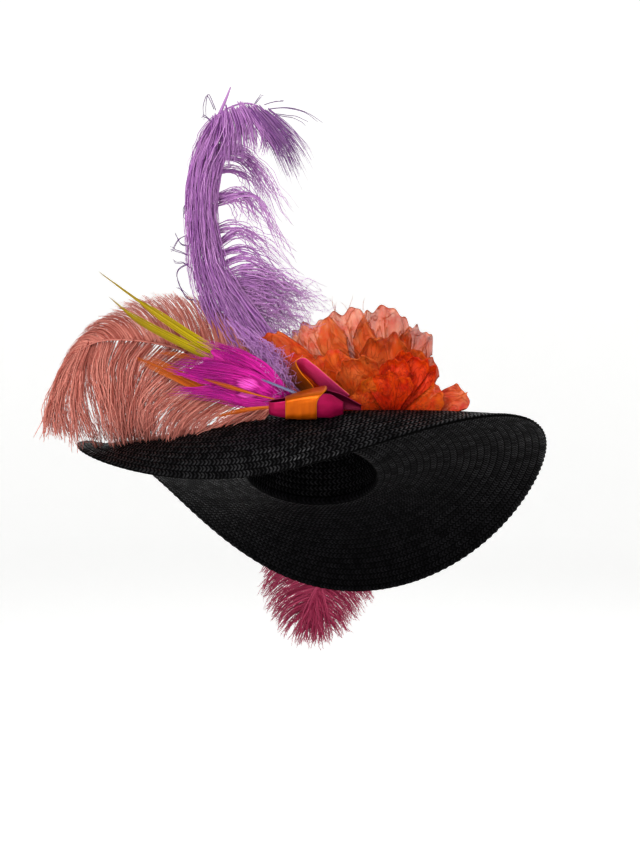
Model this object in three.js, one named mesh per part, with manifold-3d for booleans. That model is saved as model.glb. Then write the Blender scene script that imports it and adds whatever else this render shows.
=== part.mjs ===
// A wide-brimmed black straw picture hat, dressed with ostrich plumes, a dyed peacock feather,
// slim feathers, a double-face satin bow and an organza flower. Millimetres, +Z up, -Y is the front.
// The origin is the middle of the head opening. The hat leans back as it is worn, and what dresses
// it is placed in the upright frame: x to the hat's left-hand side, y to the back, z up.
import * as THREE from "three";
import { mergeVertices } from "three/addons/utils/BufferGeometryUtils.js";
import Module from "manifold-3d";

const wasm = await Module();
wasm.setup();

// Clearance between neighbouring pieces.
const GAP = 0.3;
const TURN = 2 * Math.PI;

// Straw: the wall of sewn braid and the oval where crown and brim meet.
const STRAW = 2.4;
const HEAD = { halfWidth: 80, halfLength: 98 };
const AROUND = 36;

// The hat as worn: leaned to the back, tipped to one side and turned, in degrees.
const WORN = { leanBack: 28, tip: -6.5, turn: -13.5 };

// Crown wall from its lower edge to the middle of the top: share of the oval and height.
const CROWN = [
  { share: 1, height: 3.1 },
  { share: 0.965, height: 62 },
  { share: 0.9, height: 88 },
  { share: 0.77, height: 99 },
  { share: 0.45, height: 105 },
  { share: 0, height: 107 },
];
const CROWN_CLEARANCE = 2.1;

// Brim: its reach from the middle if it lay flat, the upturned collar inside the crown, and the
// slope where it leaves the crown, in degrees downwards. The slope grows towards the edge.
const BRIM = { reach: 288, collar: 10, rootSlope: -16, growth: 1.3, steps: 7 };
const BRIM_EDGE = [
  { side: "wearer's left", slope: 5 },
  { side: "back left", slope: 30 },
  { side: "back", slope: 74 },
  { side: "back right", slope: 3 },
  { side: "wearer's right", slope: -23 },
  { side: "front right", slope: 53 },
  { side: "front", slope: 107 },
  { side: "front left", slope: 50 },
];

// Satin ribbon of the bow. The bow sits on the brim's front, knot first.
const RIBBON = { thickness: 1.2 };
const KNOT = { angle: 282, share: 0.63, lift: 16, width: 34, flare: 11 };
const KNOT_LEAN = 18;
// The knot widens from its left end to its right one, like a cone.
const KNOT_ENDS = [
  { halfHeight: 11.5, halfDepth: 9, z: -3 },
  { halfHeight: 17, halfDepth: 15, z: 3 },
];
// The pink ribbon through the knot, from its gathered end round the fold to its open rim.
const PINK_RIBBON = [
  { x: 66, y: 10, z: -7, half: 3 },
  { x: 42, y: 10, z: 0, half: 10 },
  { x: 16, y: 9, z: 2.5, half: 14 },
  { x: -19, y: 5.5, z: -3, half: 9.5 },
  { x: -31, y: 4, z: -3, half: 7.5 },
  { x: -35, y: 0, z: -3, half: 6.7 },
  { x: -31, y: -4, z: -3, half: 7.5 },
  { x: -19, y: -5.5, z: -3, half: 9.5 },
  { x: 16, y: -9, z: 2.5, half: 14 },
  { x: 32, y: -8.5, z: 2, half: 15 },
  { x: 43, y: -5, z: 0, half: 12.5 },
];
// The upper loop: its near edge, from the end under the flower round the tip to the knot.
const UPPER_LOOP = [
  { x: 42, z: 107 },
  { x: 22, z: 124 },
  { x: 2, z: 141 },
  { x: -9, z: 148 },
  { x: -17, z: 144 },
  { x: -11, z: 131 },
  { x: 1, z: 117 },
  { x: 6, z: 102 },
];
const UPPER_LOOP_DEPTH = { near: -187, across: [-11, 34, -11] };

// Petals of the organza flower, front ones first. A petal runs from its base to its tip and faces
// along "face". It is arched along its length, cupped at its sides and waved towards its outer edge.
const ORGANZA = { thickness: 1.1, columns: 8, rows: 4 };
const PETALS = [
  { name: "petal_low_left", base: [78, -132, 80], tip: [54, -160, 118], width: 46, arch: 6, cup: 5,
    wave: 2, ruffles: 1.5, face: [-0.2, -1, 0.5] },
  { name: "petal_low_right", base: [100, -130, 80], tip: [146, -160, 108], width: 46, arch: 7, cup: 4,
    wave: 2, ruffles: 1.5, face: [0.2, -1, 0.5] },
  { name: "petal_centre", base: [76, -122, 72], tip: [42, -156, 156], width: 52, arch: 6, cup: 9,
    wave: 3, ruffles: 1.5, face: [-0.1, -1, 0.3] },
  { name: "petal_inner_left", base: [52, -122, 68], tip: [8, -136, 164], width: 50, arch: 8, cup: 7,
    wave: 3, ruffles: 1.5, face: [-0.2, -1, 0.2] },
  { name: "petal_side", base: [108, -116, 68], tip: [178, -150, 102], width: 46, arch: 12, cup: 4,
    wave: 3, ruffles: 2, face: [0.2, -1, 1] },
  { name: "petal_right", base: [100, -104, 62], tip: [128, -106, 156], width: 54, arch: 6, cup: 6,
    wave: 3, ruffles: 2, face: [0.2, -1, 0.1] },
  { name: "petal_middle", base: [78, -106, 62], tip: [90, -114, 184], width: 62, arch: 6, cup: 8,
    wave: 4, ruffles: 2, face: [0, -1, 0.1] },
  { name: "petal_left", base: [52, -106, 60], tip: [-58, -128, 172], width: 54, arch: 8, cup: 8,
    wave: 3, ruffles: 1.5, face: [-0.15, -1, 0.2] },
  { name: "petal_upper_right", base: [94, -90, 54], tip: [124, -92, 192], width: 44, arch: 6, cup: 8,
    wave: 5, ruffles: 2, face: [0.1, -1, 0.1] },
  { name: "petal_upper_left", base: [52, -94, 52], tip: [-10, -106, 196], width: 70, arch: 8, cup: 7,
    wave: 4, ruffles: 2, face: [-0.1, -1, 0.1] },
  { name: "petal_top", base: [82, -80, 48], tip: [86, -72, 210], width: 70, arch: 6, cup: 8,
    wave: 4, ruffles: 2, face: [0, -1, 0.1] },
  { name: "petal_top_left", base: [60, -82, 48], tip: [36, -84, 210], width: 72, arch: 6, cup: 8,
    wave: 4, ruffles: 2, face: [0, -1, 0.1] },
];
// The red-orange bloom: small petals fused at their feet.
const BLOOM_MESH = { thickness: 1.1, columns: 5, rows: 3 };
const BLOOM = [
  { base: [92, -134, 84], tip: [114, -152, 156], width: 44, arch: 5, cup: 9, wave: 2, ruffles: 1,
    face: [0.1, -1, 0.3] },
  { base: [92, -134, 84], tip: [132, -150, 146], width: 38, arch: 6, cup: 7, wave: 2, ruffles: 1,
    face: [0.2, -1, 0.4] },
  { base: [92, -134, 84], tip: [98, -162, 128], width: 38, arch: 5, cup: 6, wave: 2, ruffles: 1,
    face: [0, -0.8, 0.7] },
];

// Plumes: the quill's route, and its vanes. A barb leaves the quill at a share of its length,
// swings towards "by" and ends at "tip". The rows are the main barbs, the rest lie between them.
// A web is a dense vane whose locks stand out as ridges and end in points, strands are loose locks.
const PLUMES = {
  lavender_plume: {
    quill: [[-13, -140, 108], [-56, -124, 153], [-97, -110, 212], [-120, -102, 268], [-130, -98, 331],
      [-123, -100, 387], [-102, -106, 424], [-70, -114, 433], [-42, -122, 413], [-18, -130, 376]],
    radius: 1.8,
    vanes: [
      { web: true, locks: 8, rows: [
        { at: 0.05, by: [-74, -140, 142], tip: [-40, -148, 113] },
        { at: 0.13, by: [-108, -140, 178], tip: [-54, -146, 132] },
        { at: 0.22, by: [-150, -136, 214], tip: [-68, -142, 160] },
        { at: 0.32, by: [-172, -134, 254], tip: [-82, -138, 184] },
        { at: 0.43, by: [-178, -130, 307], tip: [-93, -136, 222] },
        { at: 0.53, by: [-168, -128, 355], tip: [-98, -136, 256] },
        { at: 0.63, by: [-134, -132, 405], tip: [-100, -140, 300] },
      ] },
      { web: true, locks: 6, rows: [
        { at: 0.04, by: [-31, -118, 123], tip: [-16, -116, 112] },
        { at: 0.11, by: [-27, -108, 159], tip: [-2, -102, 142] },
        { at: 0.19, by: [-34, -98, 212], tip: [0, -92, 184] },
        { at: 0.3, by: [-75, -92, 248], tip: [-32, -88, 190] },
        { at: 0.4, by: [-94, -90, 310], tip: [-74, -88, 232] },
        { at: 0.52, by: [-98, -90, 366], tip: [-86, -88, 290] },
        { at: 0.62, by: [-96, -96, 402], tip: [-86, -92, 340] },
      ] },
      { web: true, locks: 6, rows: [
        { at: 0.63, by: [-108, -120, 410], tip: [-99, -128, 350] },
        { at: 0.74, by: [-65, -126, 424], tip: [-66, -134, 358] },
        { at: 0.84, by: [-36, -132, 424], tip: [-27, -142, 348] },
        { at: 0.93, by: [-12, -136, 404], tip: [-11, -146, 341] },
        { at: 1, by: [-6, -138, 384], tip: [2, -146, 357] },
      ] },
      { locks: 4, rows: [
        { at: 0.2, by: [-48, -90, 255], tip: [12, -78, 212] },
        { at: 0.32, by: [-62, -88, 300], tip: [-10, -78, 236] },
        { at: 0.44, by: [-75, -88, 357], tip: [-20, -80, 298] },
        { at: 0.56, by: [-68, -96, 386], tip: [-32, -88, 315] },
      ] },
    ],
    spike: [[-106, -104, 420], [-98, -104, 438], [-92, -104, 453]],
  },
  salmon_plume: {
    quill: [[-22, -165, 102], [-75, -150, 128], [-124, -135, 147], [-167, -118, 160], [-216, -98, 166],
      [-253, -82, 162], [-283, -70, 142], [-300, -64, 109]],
    radius: 1.7,
    vanes: [
      { web: true, locks: 8, rows: [
        { at: 0.12, by: [-85, -132, 161], tip: [-108, -116, 200] },
        { at: 0.2, by: [-101, -124, 183], tip: [-131, -104, 217] },
        { at: 0.32, by: [-140, -112, 198], tip: [-171, -90, 220] },
        { at: 0.43, by: [-185, -98, 204], tip: [-217, -74, 210] },
        { at: 0.57, by: [-235, -82, 198], tip: [-267, -58, 178] },
        { at: 0.71, by: [-273, -70, 176], tip: [-294, -50, 137] },
        { at: 0.86, by: [-301, -62, 135], tip: [-310, -46, 86] },
        { at: 1, by: [-310, -58, 95], tip: [-317, -48, 58] },
      ] },
      { web: true, locks: 9, rows: [
        { at: 0.02, by: [-55, -184, 98], tip: [-90, -184, 64] },
        { at: 0.08, by: [-84, -182, 100], tip: [-130, -162, 52] },
        { at: 0.2, by: [-122, -168, 107], tip: [-166, -132, 52] },
        { at: 0.35, by: [-153, -150, 110], tip: [-192, -112, 50] },
        { at: 0.5, by: [-199, -128, 114], tip: [-222, -92, 48] },
        { at: 0.65, by: [-236, -108, 113], tip: [-244, -82, 50] },
        { at: 0.8, by: [-270, -94, 110], tip: [-268, -74, 48] },
        { at: 0.95, by: [-295, -80, 98], tip: [-297, -68, 50] },
      ] },
    ],
  },
  raspberry_plume: {
    quill: [[22, 92, -38], [22, 142, -52], [26, 172, -74], [22, 202, -116], [12, 214, -160], [2, 222, -212]],
    radius: 1.8,
    vanes: [
      { web: true, locks: 5, rows: [
        { at: 0.2, by: [-4, 156, -48], tip: [-38, 176, -66] },
        { at: 0.5, by: [-36, 222, -90], tip: [-66, 242, -148] },
        { at: 0.75, by: [-46, 232, -150], tip: [-72, 240, -200] },
        { at: 1, by: [-24, 226, -222], tip: [-40, 230, -252] },
      ] },
      { web: true, locks: 5, rows: [
        { at: 0.2, by: [56, 158, -56], tip: [88, 164, -78] },
        { at: 0.5, by: [68, 208, -112], tip: [92, 206, -164] },
        { at: 0.75, by: [60, 216, -160], tip: [80, 214, -200] },
        { at: 1, by: [26, 222, -222], tip: [38, 222, -252] },
      ] },
      { locks: 2, rows: [
        { at: 0.97, by: [-8, 224, -230], tip: [-16, 226, -260] },
        { at: 1, by: [10, 222, -232], tip: [16, 222, -260] },
      ] },
    ],
  },
  peacock_feather: {
    quill: [[-24, -174, 108], [-68, -174, 114], [-110, -172, 118]],
    radius: 1,
    vanes: [
      { web: true, locks: 5, rows: [
        { at: 0, by: [-58, -174, 134], tip: [-84, -172, 154] },
        { at: 0.3, by: [-90, -174, 150], tip: [-130, -170, 169] },
        { at: 0.65, by: [-112, -174, 134], tip: [-148, -170, 146] },
        { at: 1, by: [-136, -172, 126], tip: [-165, -170, 132] },
      ] },
      { web: true, locks: 4, rows: [
        { at: 0, by: [-52, -176, 100], tip: [-92, -174, 96] },
        { at: 0.5, by: [-88, -176, 100], tip: [-128, -172, 103] },
        { at: 1, by: [-134, -172, 112], tip: [-163, -170, 114] },
      ] },
    ],
  },
};
const LOCK = { width: 8, thickness: 2, steps: 3, tipShare: 0.2 };
const WEB = { thickness: 2, steps: 3, notch: 0.2, ridge: 3 };

// Slim feathers: the route of each shaft, and the vane's width along it.
const SLIM_FEATHERS = {
  orange_feather_front: {
    route: [[-24, -190, 98], [-72, -182, 110], [-122, -178, 125]],
    widths: [{ at: 0, width: 2 }, { at: 0.4, width: 3 }, { at: 0.7, width: 6 }, { at: 1, width: 2 }],
  },
  quill_stem: {
    route: [[-12, -192, 107], [-56, -181, 124]],
    widths: [{ at: 0, width: 3 }, { at: 1, width: 2 }],
  },
  orange_feather_long: {
    route: [[-29, -168, 102], [-72, -166, 101], [-107, -165, 106], [-157, -162, 131], [-196, -158, 148]],
    widths: [{ at: 0, width: 2 }, { at: 0.5, width: 5 }, { at: 0.8, width: 9 }, { at: 1, width: 2 }],
  },
  orange_feather_short: {
    route: [[-27, -161.5, 113], [-80, -164, 131], [-124, -163, 146], [-175, -160, 153]],
    widths: [{ at: 0, width: 2 }, { at: 0.6, width: 3 }, { at: 0.85, width: 6 }, { at: 1, width: 2 }],
  },
  orange_feather_low: {
    route: [[-24, -191, 95], [-62, -188, 92], [-85, -188, 88], [-108, -188, 82]],
    widths: [{ at: 0, width: 2 }, { at: 0.6, width: 5 }, { at: 1, width: 2 }],
  },
  yellow_feather_upper: {
    route: [[-27, -159.5, 114], [-80, -158, 139], [-125, -155, 165], [-187, -150, 206], [-240, -145, 244]],
    widths: [{ at: 0, width: 2 }, { at: 0.4, width: 4 }, { at: 0.5, width: 8 }, { at: 0.7, width: 8 },
      { at: 0.78, width: 2.4 }, { at: 1, width: 1.6 }],
  },
  yellow_feather_lower: {
    route: [[-27, -157.5, 112], [-80, -155, 133], [-130, -153, 156], [-197, -150, 191], [-227, -148, 215]],
    widths: [{ at: 0, width: 2 }, { at: 0.4, width: 4 }, { at: 0.5, width: 8 }, { at: 0.74, width: 7 },
      { at: 0.85, width: 2.4 }, { at: 1, width: 1.6 }],
  },
};
const SLIM_THICKNESS = 1.6;

const FINISHES = {
  straw: { color: 0x1b1a1c, roughness: 0.7 },
  orange_satin: { color: 0xd96a10, roughness: 0.3 },
  pink_satin: { color: 0xa5124f, roughness: 0.3 },
  organza: { color: 0xc9602f, roughness: 0.55 },
  bloom: { color: 0xe03a00, roughness: 0.55 },
  lavender: { color: 0x9b6bb5, roughness: 0.8 },
  salmon: { color: 0xc27060, roughness: 0.8 },
  raspberry: { color: 0x9a2d50, roughness: 0.8 },
  magenta: { color: 0xc81e9e, roughness: 0.6 },
  orange: { color: 0xd0640c, roughness: 0.6 },
  yellow: { color: 0xc9a400, roughness: 0.6 },
  periwinkle: { color: 0x8a86c8, roughness: 0.6 },
};

const point = (place) => new THREE.Vector3(...place);

// A closed geometry becomes a solid with its faces pointing out. Collapsed faces are left out.
function solidOf(geometry) {
  const bare = geometry.clone();
  bare.deleteAttribute("normal");
  bare.deleteAttribute("uv");
  const merged = mergeVertices(bare, 1e-4);
  const corners = [];
  for (let i = 0; i < merged.index.count; i += 3) {
    const [a, b, c] = [0, 1, 2].map((k) => merged.index.getX(i + k));
    if (a !== b && b !== c && c !== a) {
      corners.push([a, b, c]);
    }
  }
  const at = (k) => new THREE.Vector3().fromBufferAttribute(merged.attributes.position, k);
  const volume = corners.reduce((sum, [a, b, c]) => sum + at(a).dot(at(b).cross(at(c))), 0);
  const turned = volume < 0 ? corners.map(([a, b, c]) => [a, c, b]) : corners;
  return new wasm.Manifold(new wasm.Mesh({
    numProp: 3,
    vertProperties: Float32Array.from(merged.attributes.position.array),
    triVerts: Uint32Array.from(turned.flat()),
  }));
}

function geometryOf(solid) {
  const mesh = solid.getMesh();
  const geometry = new THREE.BufferGeometry();
  geometry.setAttribute("position", new THREE.BufferAttribute(mesh.vertProperties, 3));
  geometry.setIndex(new THREE.BufferAttribute(mesh.triVerts, 1));
  geometry.computeVertexNormals();
  return geometry;
}

// Skins a row of rings, each a loop of points. An open row gets flat ends, a looped one joins up.
function skin(rings, looped) {
  const size = rings[0].length;
  const last = rings.length - 1;
  const faces = [];
  for (let j = 0; j < (looped ? rings.length : last); j += 1) {
    const next = (j + 1) % rings.length;
    for (let i = 0; i < size; i += 1) {
      const beside = (i + 1) % size;
      faces.push(j * size + i, j * size + beside, next * size + beside);
      faces.push(j * size + i, next * size + beside, next * size + i);
    }
  }
  for (let i = 0; !looped && i < size / 2 - 1; i += 1) {
    const far = size - 1 - i;
    faces.push(i + 1, i, far, i + 1, far, far - 1);
    const end = last * size;
    faces.push(end + i, end + i + 1, end + far - 1, end + i, end + far - 1, end + far);
  }
  const geometry = new THREE.BufferGeometry().setFromPoints(rings.flat());
  geometry.setIndex(faces);
  return geometry;
}

// A sheet of cloth or feather with a thickness. at(u, v) is its middle surface, u across, v along.
// grow makes it that much larger on every side, which is the room that its neighbours leave free.
function sheet(at, { columns, rows, thickness, grow = 0, looped = false }) {
  const middle = [];
  for (let j = 0; j <= rows - (looped ? 1 : 0); j += 1) {
    middle.push(Array.from({ length: columns + 1 }, (_, i) => at(i / columns, j / rows)));
  }
  const clamp = (j) => (looped ? (j + middle.length) % middle.length : THREE.MathUtils.clamp(j, 0, rows));
  const step = (from, to) => to.clone().sub(from).normalize();
  const rings = middle.map((row, j) => {
    const along = row.map((_, i) => step(middle[clamp(j - 1)][i], middle[clamp(j + 1)][i]));
    const across = row.map((_, i) => step(row[Math.max(i - 1, 0)], row[Math.min(i + 1, columns)]));
    const normals = row.map((_, i) => across[i].clone().cross(along[i]).normalize());
    const grown = row.map((place, i) => {
      const moved = place.clone();
      moved.addScaledVector(across[i], i === 0 ? -grow : i === columns ? grow : 0);
      const end = looped ? 0 : j === 0 ? -grow : j === rows ? grow : 0;
      return moved.addScaledVector(along[i], end);
    });
    const half = thickness / 2 + grow;
    const top = grown.map((place, i) => place.clone().addScaledVector(normals[i], half));
    const under = grown.map((place, i) => place.clone().addScaledVector(normals[i], -half));
    return top.concat(under.reverse());
  });
  return solidOf(skin(rings, looped));
}

// A round rod along a smooth curve through the given points.
function rod(points, radius, steps) {
  const outline = new THREE.Shape();
  outline.absarc(0, 0, radius, 0, TURN, false);
  const path = new THREE.CatmullRomCurve3(points);
  const settings = { steps, curveSegments: 2, bevelEnabled: false, extrudePath: path };
  return solidOf(new THREE.ExtrudeGeometry(outline, settings));
}

// Spins a profile round the hat's axis. profileAt gives, for an angle, points [out, up].
function spin(profileAt) {
  const rings = Array.from({ length: AROUND }, (_, k) => {
    const angle = (k * TURN) / AROUND;
    return profileAt(angle).map(([out, up]) => point([out * Math.cos(angle), out * Math.sin(angle), up]));
  });
  return solidOf(skin(rings, true));
}

function headRadius(angle) {
  const across = HEAD.halfLength * Math.cos(angle);
  const along = HEAD.halfWidth * Math.sin(angle);
  return (HEAD.halfWidth * HEAD.halfLength) / Math.hypot(across, along);
}

// Offsets a line of [out, up] points by half a wall to both sides and joins the two ends. A point
// on the axis stays on it.
function wall(line, thickness) {
  const sides = line.map(([out, up], i) => {
    const before = line[Math.max(i - 1, 0)];
    const after = line[Math.min(i + 1, line.length - 1)];
    const run = [after[0] - before[0], after[1] - before[1]];
    const length = Math.hypot(...run);
    return { out, up, normal: [-run[1] / length, run[0] / length] };
  });
  const shift = ({ out, up, normal }, by) => (out === 0
    ? [0, up + Math.sign(normal[1]) * by]
    : [out + normal[0] * by, up + normal[1] * by]);
  const upper = sides.map((side) => shift(side, thickness / 2));
  const lower = sides.map((side) => shift(side, -thickness / 2)).reverse();
  return upper.concat(lower);
}

// Slope of the brim's edge at an angle: the eight values joined by one smooth wave.
function edgeSlope(angle) {
  const count = BRIM_EDGE.length;
  return BRIM_EDGE.reduce((sum, row, k) => {
    const away = angle - (k * TURN) / count;
    const share = Math.abs(Math.sin(away / 2)) < 1e-9
      ? 1
      : Math.sin((count * away) / 2) / (count * Math.tan(away / 2));
    return sum + row.slope * share;
  }, 0);
}

// The brim's middle line at an angle, from the crown out to a share of its width.
function brimLine(angle, share, steps) {
  const width = BRIM.reach - headRadius(angle);
  const root = THREE.MathUtils.degToRad(BRIM.rootSlope);
  const edge = THREE.MathUtils.degToRad(edgeSlope(angle));
  const fine = 6;
  const line = [[headRadius(angle), 0]];
  let [out, up] = line[0];
  for (let k = 0; k < steps * fine; k += 1) {
    const along = ((k + 0.5) / (steps * fine)) * share;
    const slope = root + (edge - root) * along ** BRIM.growth;
    out += (Math.cos(slope) * width * share) / (steps * fine);
    up -= (Math.sin(slope) * width * share) / (steps * fine);
    if (k % fine === fine - 1) {
      line.push([out, up]);
    }
  }
  return line;
}

function brim(grow) {
  const thickness = STRAW + 2 * grow;
  return spin((angle) => {
    const collar = [headRadius(angle), BRIM.collar + grow];
    return wall([collar, ...brimLine(angle, 1, BRIM.steps)], thickness);
  });
}

function crown(grow) {
  return spin((angle) => {
    const line = CROWN.map(({ share, height }) => {
      const reach = (headRadius(angle) + CROWN_CLEARANCE + STRAW / 2) * share;
      return [reach, height];
    });
    return wall(line, STRAW + 2 * grow);
  });
}

const upright = new THREE.Matrix4().makeRotationFromEuler(new THREE.Euler(
  THREE.MathUtils.degToRad(-WORN.leanBack),
  THREE.MathUtils.degToRad(WORN.tip),
  THREE.MathUtils.degToRad(WORN.turn),
  "ZYX",
));

// A place on the brim's upper face in the upright frame, lifted off it by a distance.
function onBrim(degrees, share, lift) {
  const angle = THREE.MathUtils.degToRad(degrees);
  const line = brimLine(angle, share, BRIM.steps);
  const [[fromOut, fromUp], [out, up]] = line.slice(-2);
  const run = Math.hypot(out - fromOut, up - fromUp);
  const height = lift + STRAW / 2;
  const outward = out - ((up - fromUp) / run) * height;
  const upward = up + ((out - fromOut) / run) * height;
  return point([outward * Math.cos(angle), outward * Math.sin(angle), upward]).applyMatrix4(upright);
}

// The bow's own frame: its middle is the knot's, leaned with the brim under it.
const knotCentre = onBrim(KNOT.angle, KNOT.share, KNOT.lift);
const lean = THREE.MathUtils.degToRad(KNOT_LEAN);
const inBow = (x, y, z) => point([x, y, z]).applyAxisAngle(point([1, 0, 0]), lean).add(knotCentre);

function bowKnot(grow) {
  const squareness = 2 / 3;
  const bend = (value) => Math.sign(value) * Math.abs(value) ** squareness;
  const [left, right] = KNOT_ENDS;
  return sheet((u, v) => {
    const angle = v * TURN;
    const swell = 1 + 0.05 * Math.sin(u * Math.PI);
    const size = (column) => THREE.MathUtils.lerp(left[column], right[column], u);
    return inBow(
      (u - 0.5) * KNOT.width + KNOT.flare * u * u * Math.max(Math.cos(angle), 0) ** 2,
      -bend(Math.sin(angle)) * size("halfDepth") * swell,
      size("z") + bend(Math.cos(angle)) * size("halfHeight") * swell,
    );
  }, { columns: 3, rows: 14, thickness: RIBBON.thickness, grow, looped: true });
}

// The value of a named column of a table, at a share of the way down its rows, smoothly joined.
function tableCurve(rows, columns) {
  return new THREE.CatmullRomCurve3(rows.map((row) => point(columns.map((column) => row[column]))));
}

function bowRibbon(grow) {
  const route = tableCurve(PINK_RIBBON, ["x", "y", "z"]);
  const size = tableCurve(PINK_RIBBON.map((row) => ({ ...row, zero: 0 })), ["half", "zero", "zero"]);
  return sheet((u, v) => {
    const middle = route.getPoint(v);
    const side = 2 * u - 1;
    const bulge = Math.sign(middle.y) * 1.6 * (1 - side * side);
    return inBow(middle.x, middle.y + bulge, middle.z + side * size.getPoint(v).x);
  }, { columns: 3, rows: 14, thickness: RIBBON.thickness, grow });
}

function bowLoop(grow) {
  const edge = tableCurve(UPPER_LOOP.map((row) => ({ ...row, y: UPPER_LOOP_DEPTH.near })), ["x", "y", "z"]);
  const across = point(UPPER_LOOP_DEPTH.across);
  return sheet((u, v) => edge.getPoint(v).addScaledVector(across, u), {
    columns: 1, rows: 15, thickness: RIBBON.thickness, grow,
  });
}

// A petal: a fan from its narrow foot, arched and cupped, its edge scalloped and waved.
function petal({ base, tip, width, arch, cup, wave, ruffles, face }, grow, mesh = ORGANZA) {
  const foot = point(base);
  const reach = point(tip).sub(foot);
  const front = point(face).normalize();
  const side = front.clone().cross(reach).normalize();
  return sheet((u, v) => {
    const across = 2 * u - 1;
    const ripple = Math.sin(Math.PI * ruffles * across + reach.x);
    const half = (width / 2) * (0.26 + 0.74 * Math.sin((Math.PI / 2) * v));
    const along = v * (1 - 0.2 * v * across ** 4 - 0.04 * v * v * (1 + ripple));
    const rise = arch * Math.sin(Math.PI * v) + cup * across * across * v + wave * v * v * ripple;
    return foot.clone()
      .addScaledVector(reach, along)
      .addScaledVector(side, across * half)
      .addScaledVector(front, rise);
  }, { ...mesh, grow });
}

// A lock of barbs: a tapering strip along the barb's curve.
function lock({ start, by, tip }, grow) {
  const curve = new THREE.QuadraticBezierCurve3(start, by, tip);
  return sheet((u, v) => {
    const side = curve.getTangent(v).cross(point([0, 1, 0])).normalize();
    const half = (LOCK.width / 2) * (1 - (1 - LOCK.tipShare) * v * v);
    return curve.getPoint(v).addScaledVector(side, (2 * u - 1) * half);
  }, { columns: 1, rows: LOCK.steps, thickness: LOCK.thickness, grow });
}

// The barb at a share of the way down a vane's rows.
function barbAt(shaft, rows, share) {
  const place = share * (rows.length - 1);
  const from = rows[Math.min(Math.floor(place), rows.length - 2)];
  const to = rows[rows.indexOf(from) + 1];
  const blend = place - rows.indexOf(from);
  return {
    start: shaft.getPoint(THREE.MathUtils.lerp(from.at, to.at, blend)),
    by: point(from.by).lerp(point(to.by), blend),
    tip: point(from.tip).lerp(point(to.tip), blend),
  };
}

// A dense vane in one web. Its locks stand out to the front as ridges and end in points.
function web(shaft, { locks, rows }, grow) {
  return sheet((u, v) => {
    const { start, by, tip } = barbAt(shaft, rows, u);
    const crest = 1 - Math.abs(2 * ((u * locks) % 1) - 1);
    const curve = new THREE.QuadraticBezierCurve3(start, by, tip);
    const place = curve.getPoint(v * (1 - WEB.notch * (1 - crest)));
    return place.add(point([0, -WEB.ridge * crest * v, 0]));
  }, { columns: 2 * locks, rows: WEB.steps, thickness: WEB.thickness, grow });
}

function plume({ quill, radius, vanes, spike }, grow) {
  const shaft = new THREE.CatmullRomCurve3(quill.map(point));
  const parts = [rod(quill.map(point), radius + grow, quill.length)];
  vanes.forEach((vane) => {
    if (vane.web) {
      parts.push(web(shaft, vane, grow));
      return;
    }
    for (let k = 0; k < vane.locks; k += 1) {
      parts.push(lock(barbAt(shaft, vane.rows, k / (vane.locks - 1)), grow));
    }
  });
  if (spike) {
    parts.push(rod(spike.map(point), radius + grow, spike.length));
  }
  return parts.reduce((all, one) => all.add(one));
}

function slimFeather({ route, widths }, grow) {
  const shaft = new THREE.CatmullRomCurve3(route.map(point));
  const widthAt = (v) => {
    const next = Math.max(widths.findIndex((row) => row.at >= v), 1);
    const [from, to] = [widths[next - 1], widths[next]];
    return THREE.MathUtils.mapLinear(v, from.at, to.at, from.width, to.width);
  };
  return sheet((u, v) => {
    const side = shaft.getTangent(v).cross(point([0, 1, 0])).normalize();
    return shaft.getPoint(v).addScaledVector(side, (u - 0.5) * widthAt(v));
  }, { columns: 1, rows: 8, thickness: SLIM_THICKNESS, grow });
}

const group = new THREE.Group();
const hat = new THREE.Group();
hat.rotation.set(
  THREE.MathUtils.degToRad(-WORN.leanBack),
  THREE.MathUtils.degToRad(WORN.tip),
  THREE.MathUtils.degToRad(WORN.turn),
  "ZYX",
);
group.add(hat);

function addMesh(parent, name, solid, finish) {
  const material = new THREE.MeshStandardMaterial({ ...FINISHES[finish], metalness: 0 });
  const mesh = new THREE.Mesh(geometryOf(solid), material);
  mesh.name = name;
  parent.add(mesh);
}

addMesh(hat, "straw_crown", crown(0), "straw");
addMesh(hat, "straw_brim", brim(0), "straw");

// Each piece in turn is cut clear of the pieces before it, so that all keep the gap and none overlap.
const leaned = (solid) => solid.transform(upright.toArray());
let taken = leaned(crown(GAP)).add(leaned(brim(GAP)));

function settle(name, make, finish) {
  const bodies = make(0).subtract(taken).decompose();
  const body = bodies.reduce((best, one) => (one.volume() > best.volume() ? one : best));
  taken = taken.add(make(GAP));
  addMesh(group, name, body, finish);
}

settle("bow_knot", bowKnot, "orange_satin");
settle("bow_ribbon", bowRibbon, "pink_satin");
settle("bow_loop", bowLoop, "orange_satin");
settle("flower_bloom", (grow) => BLOOM.map((row) => petal(row, grow, BLOOM_MESH)).reduce((a, b) => a.add(b)),
  "bloom");
PETALS.forEach((row) => settle(row.name, (grow) => petal(row, grow), "organza"));
["orange_feather_front", "quill_stem"].forEach((name) => {
  const finish = name === "quill_stem" ? "periwinkle" : "orange";
  settle(name, (grow) => slimFeather(SLIM_FEATHERS[name], grow), finish);
});
settle("peacock_feather", (grow) => plume(PLUMES.peacock_feather, grow), "magenta");
["orange_feather_long", "orange_feather_short", "orange_feather_low"].forEach((name) => {
  settle(name, (grow) => slimFeather(SLIM_FEATHERS[name], grow), "orange");
});
["yellow_feather_upper", "yellow_feather_lower"].forEach((name) => {
  settle(name, (grow) => slimFeather(SLIM_FEATHERS[name], grow), "yellow");
});
settle("salmon_plume", (grow) => plume(PLUMES.salmon_plume, grow), "salmon");
settle("lavender_plume", (grow) => plume(PLUMES.lavender_plume, grow), "lavender");
settle("raspberry_plume", (grow) => plume(PLUMES.raspberry_plume, grow), "raspberry");

export default group;
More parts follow.
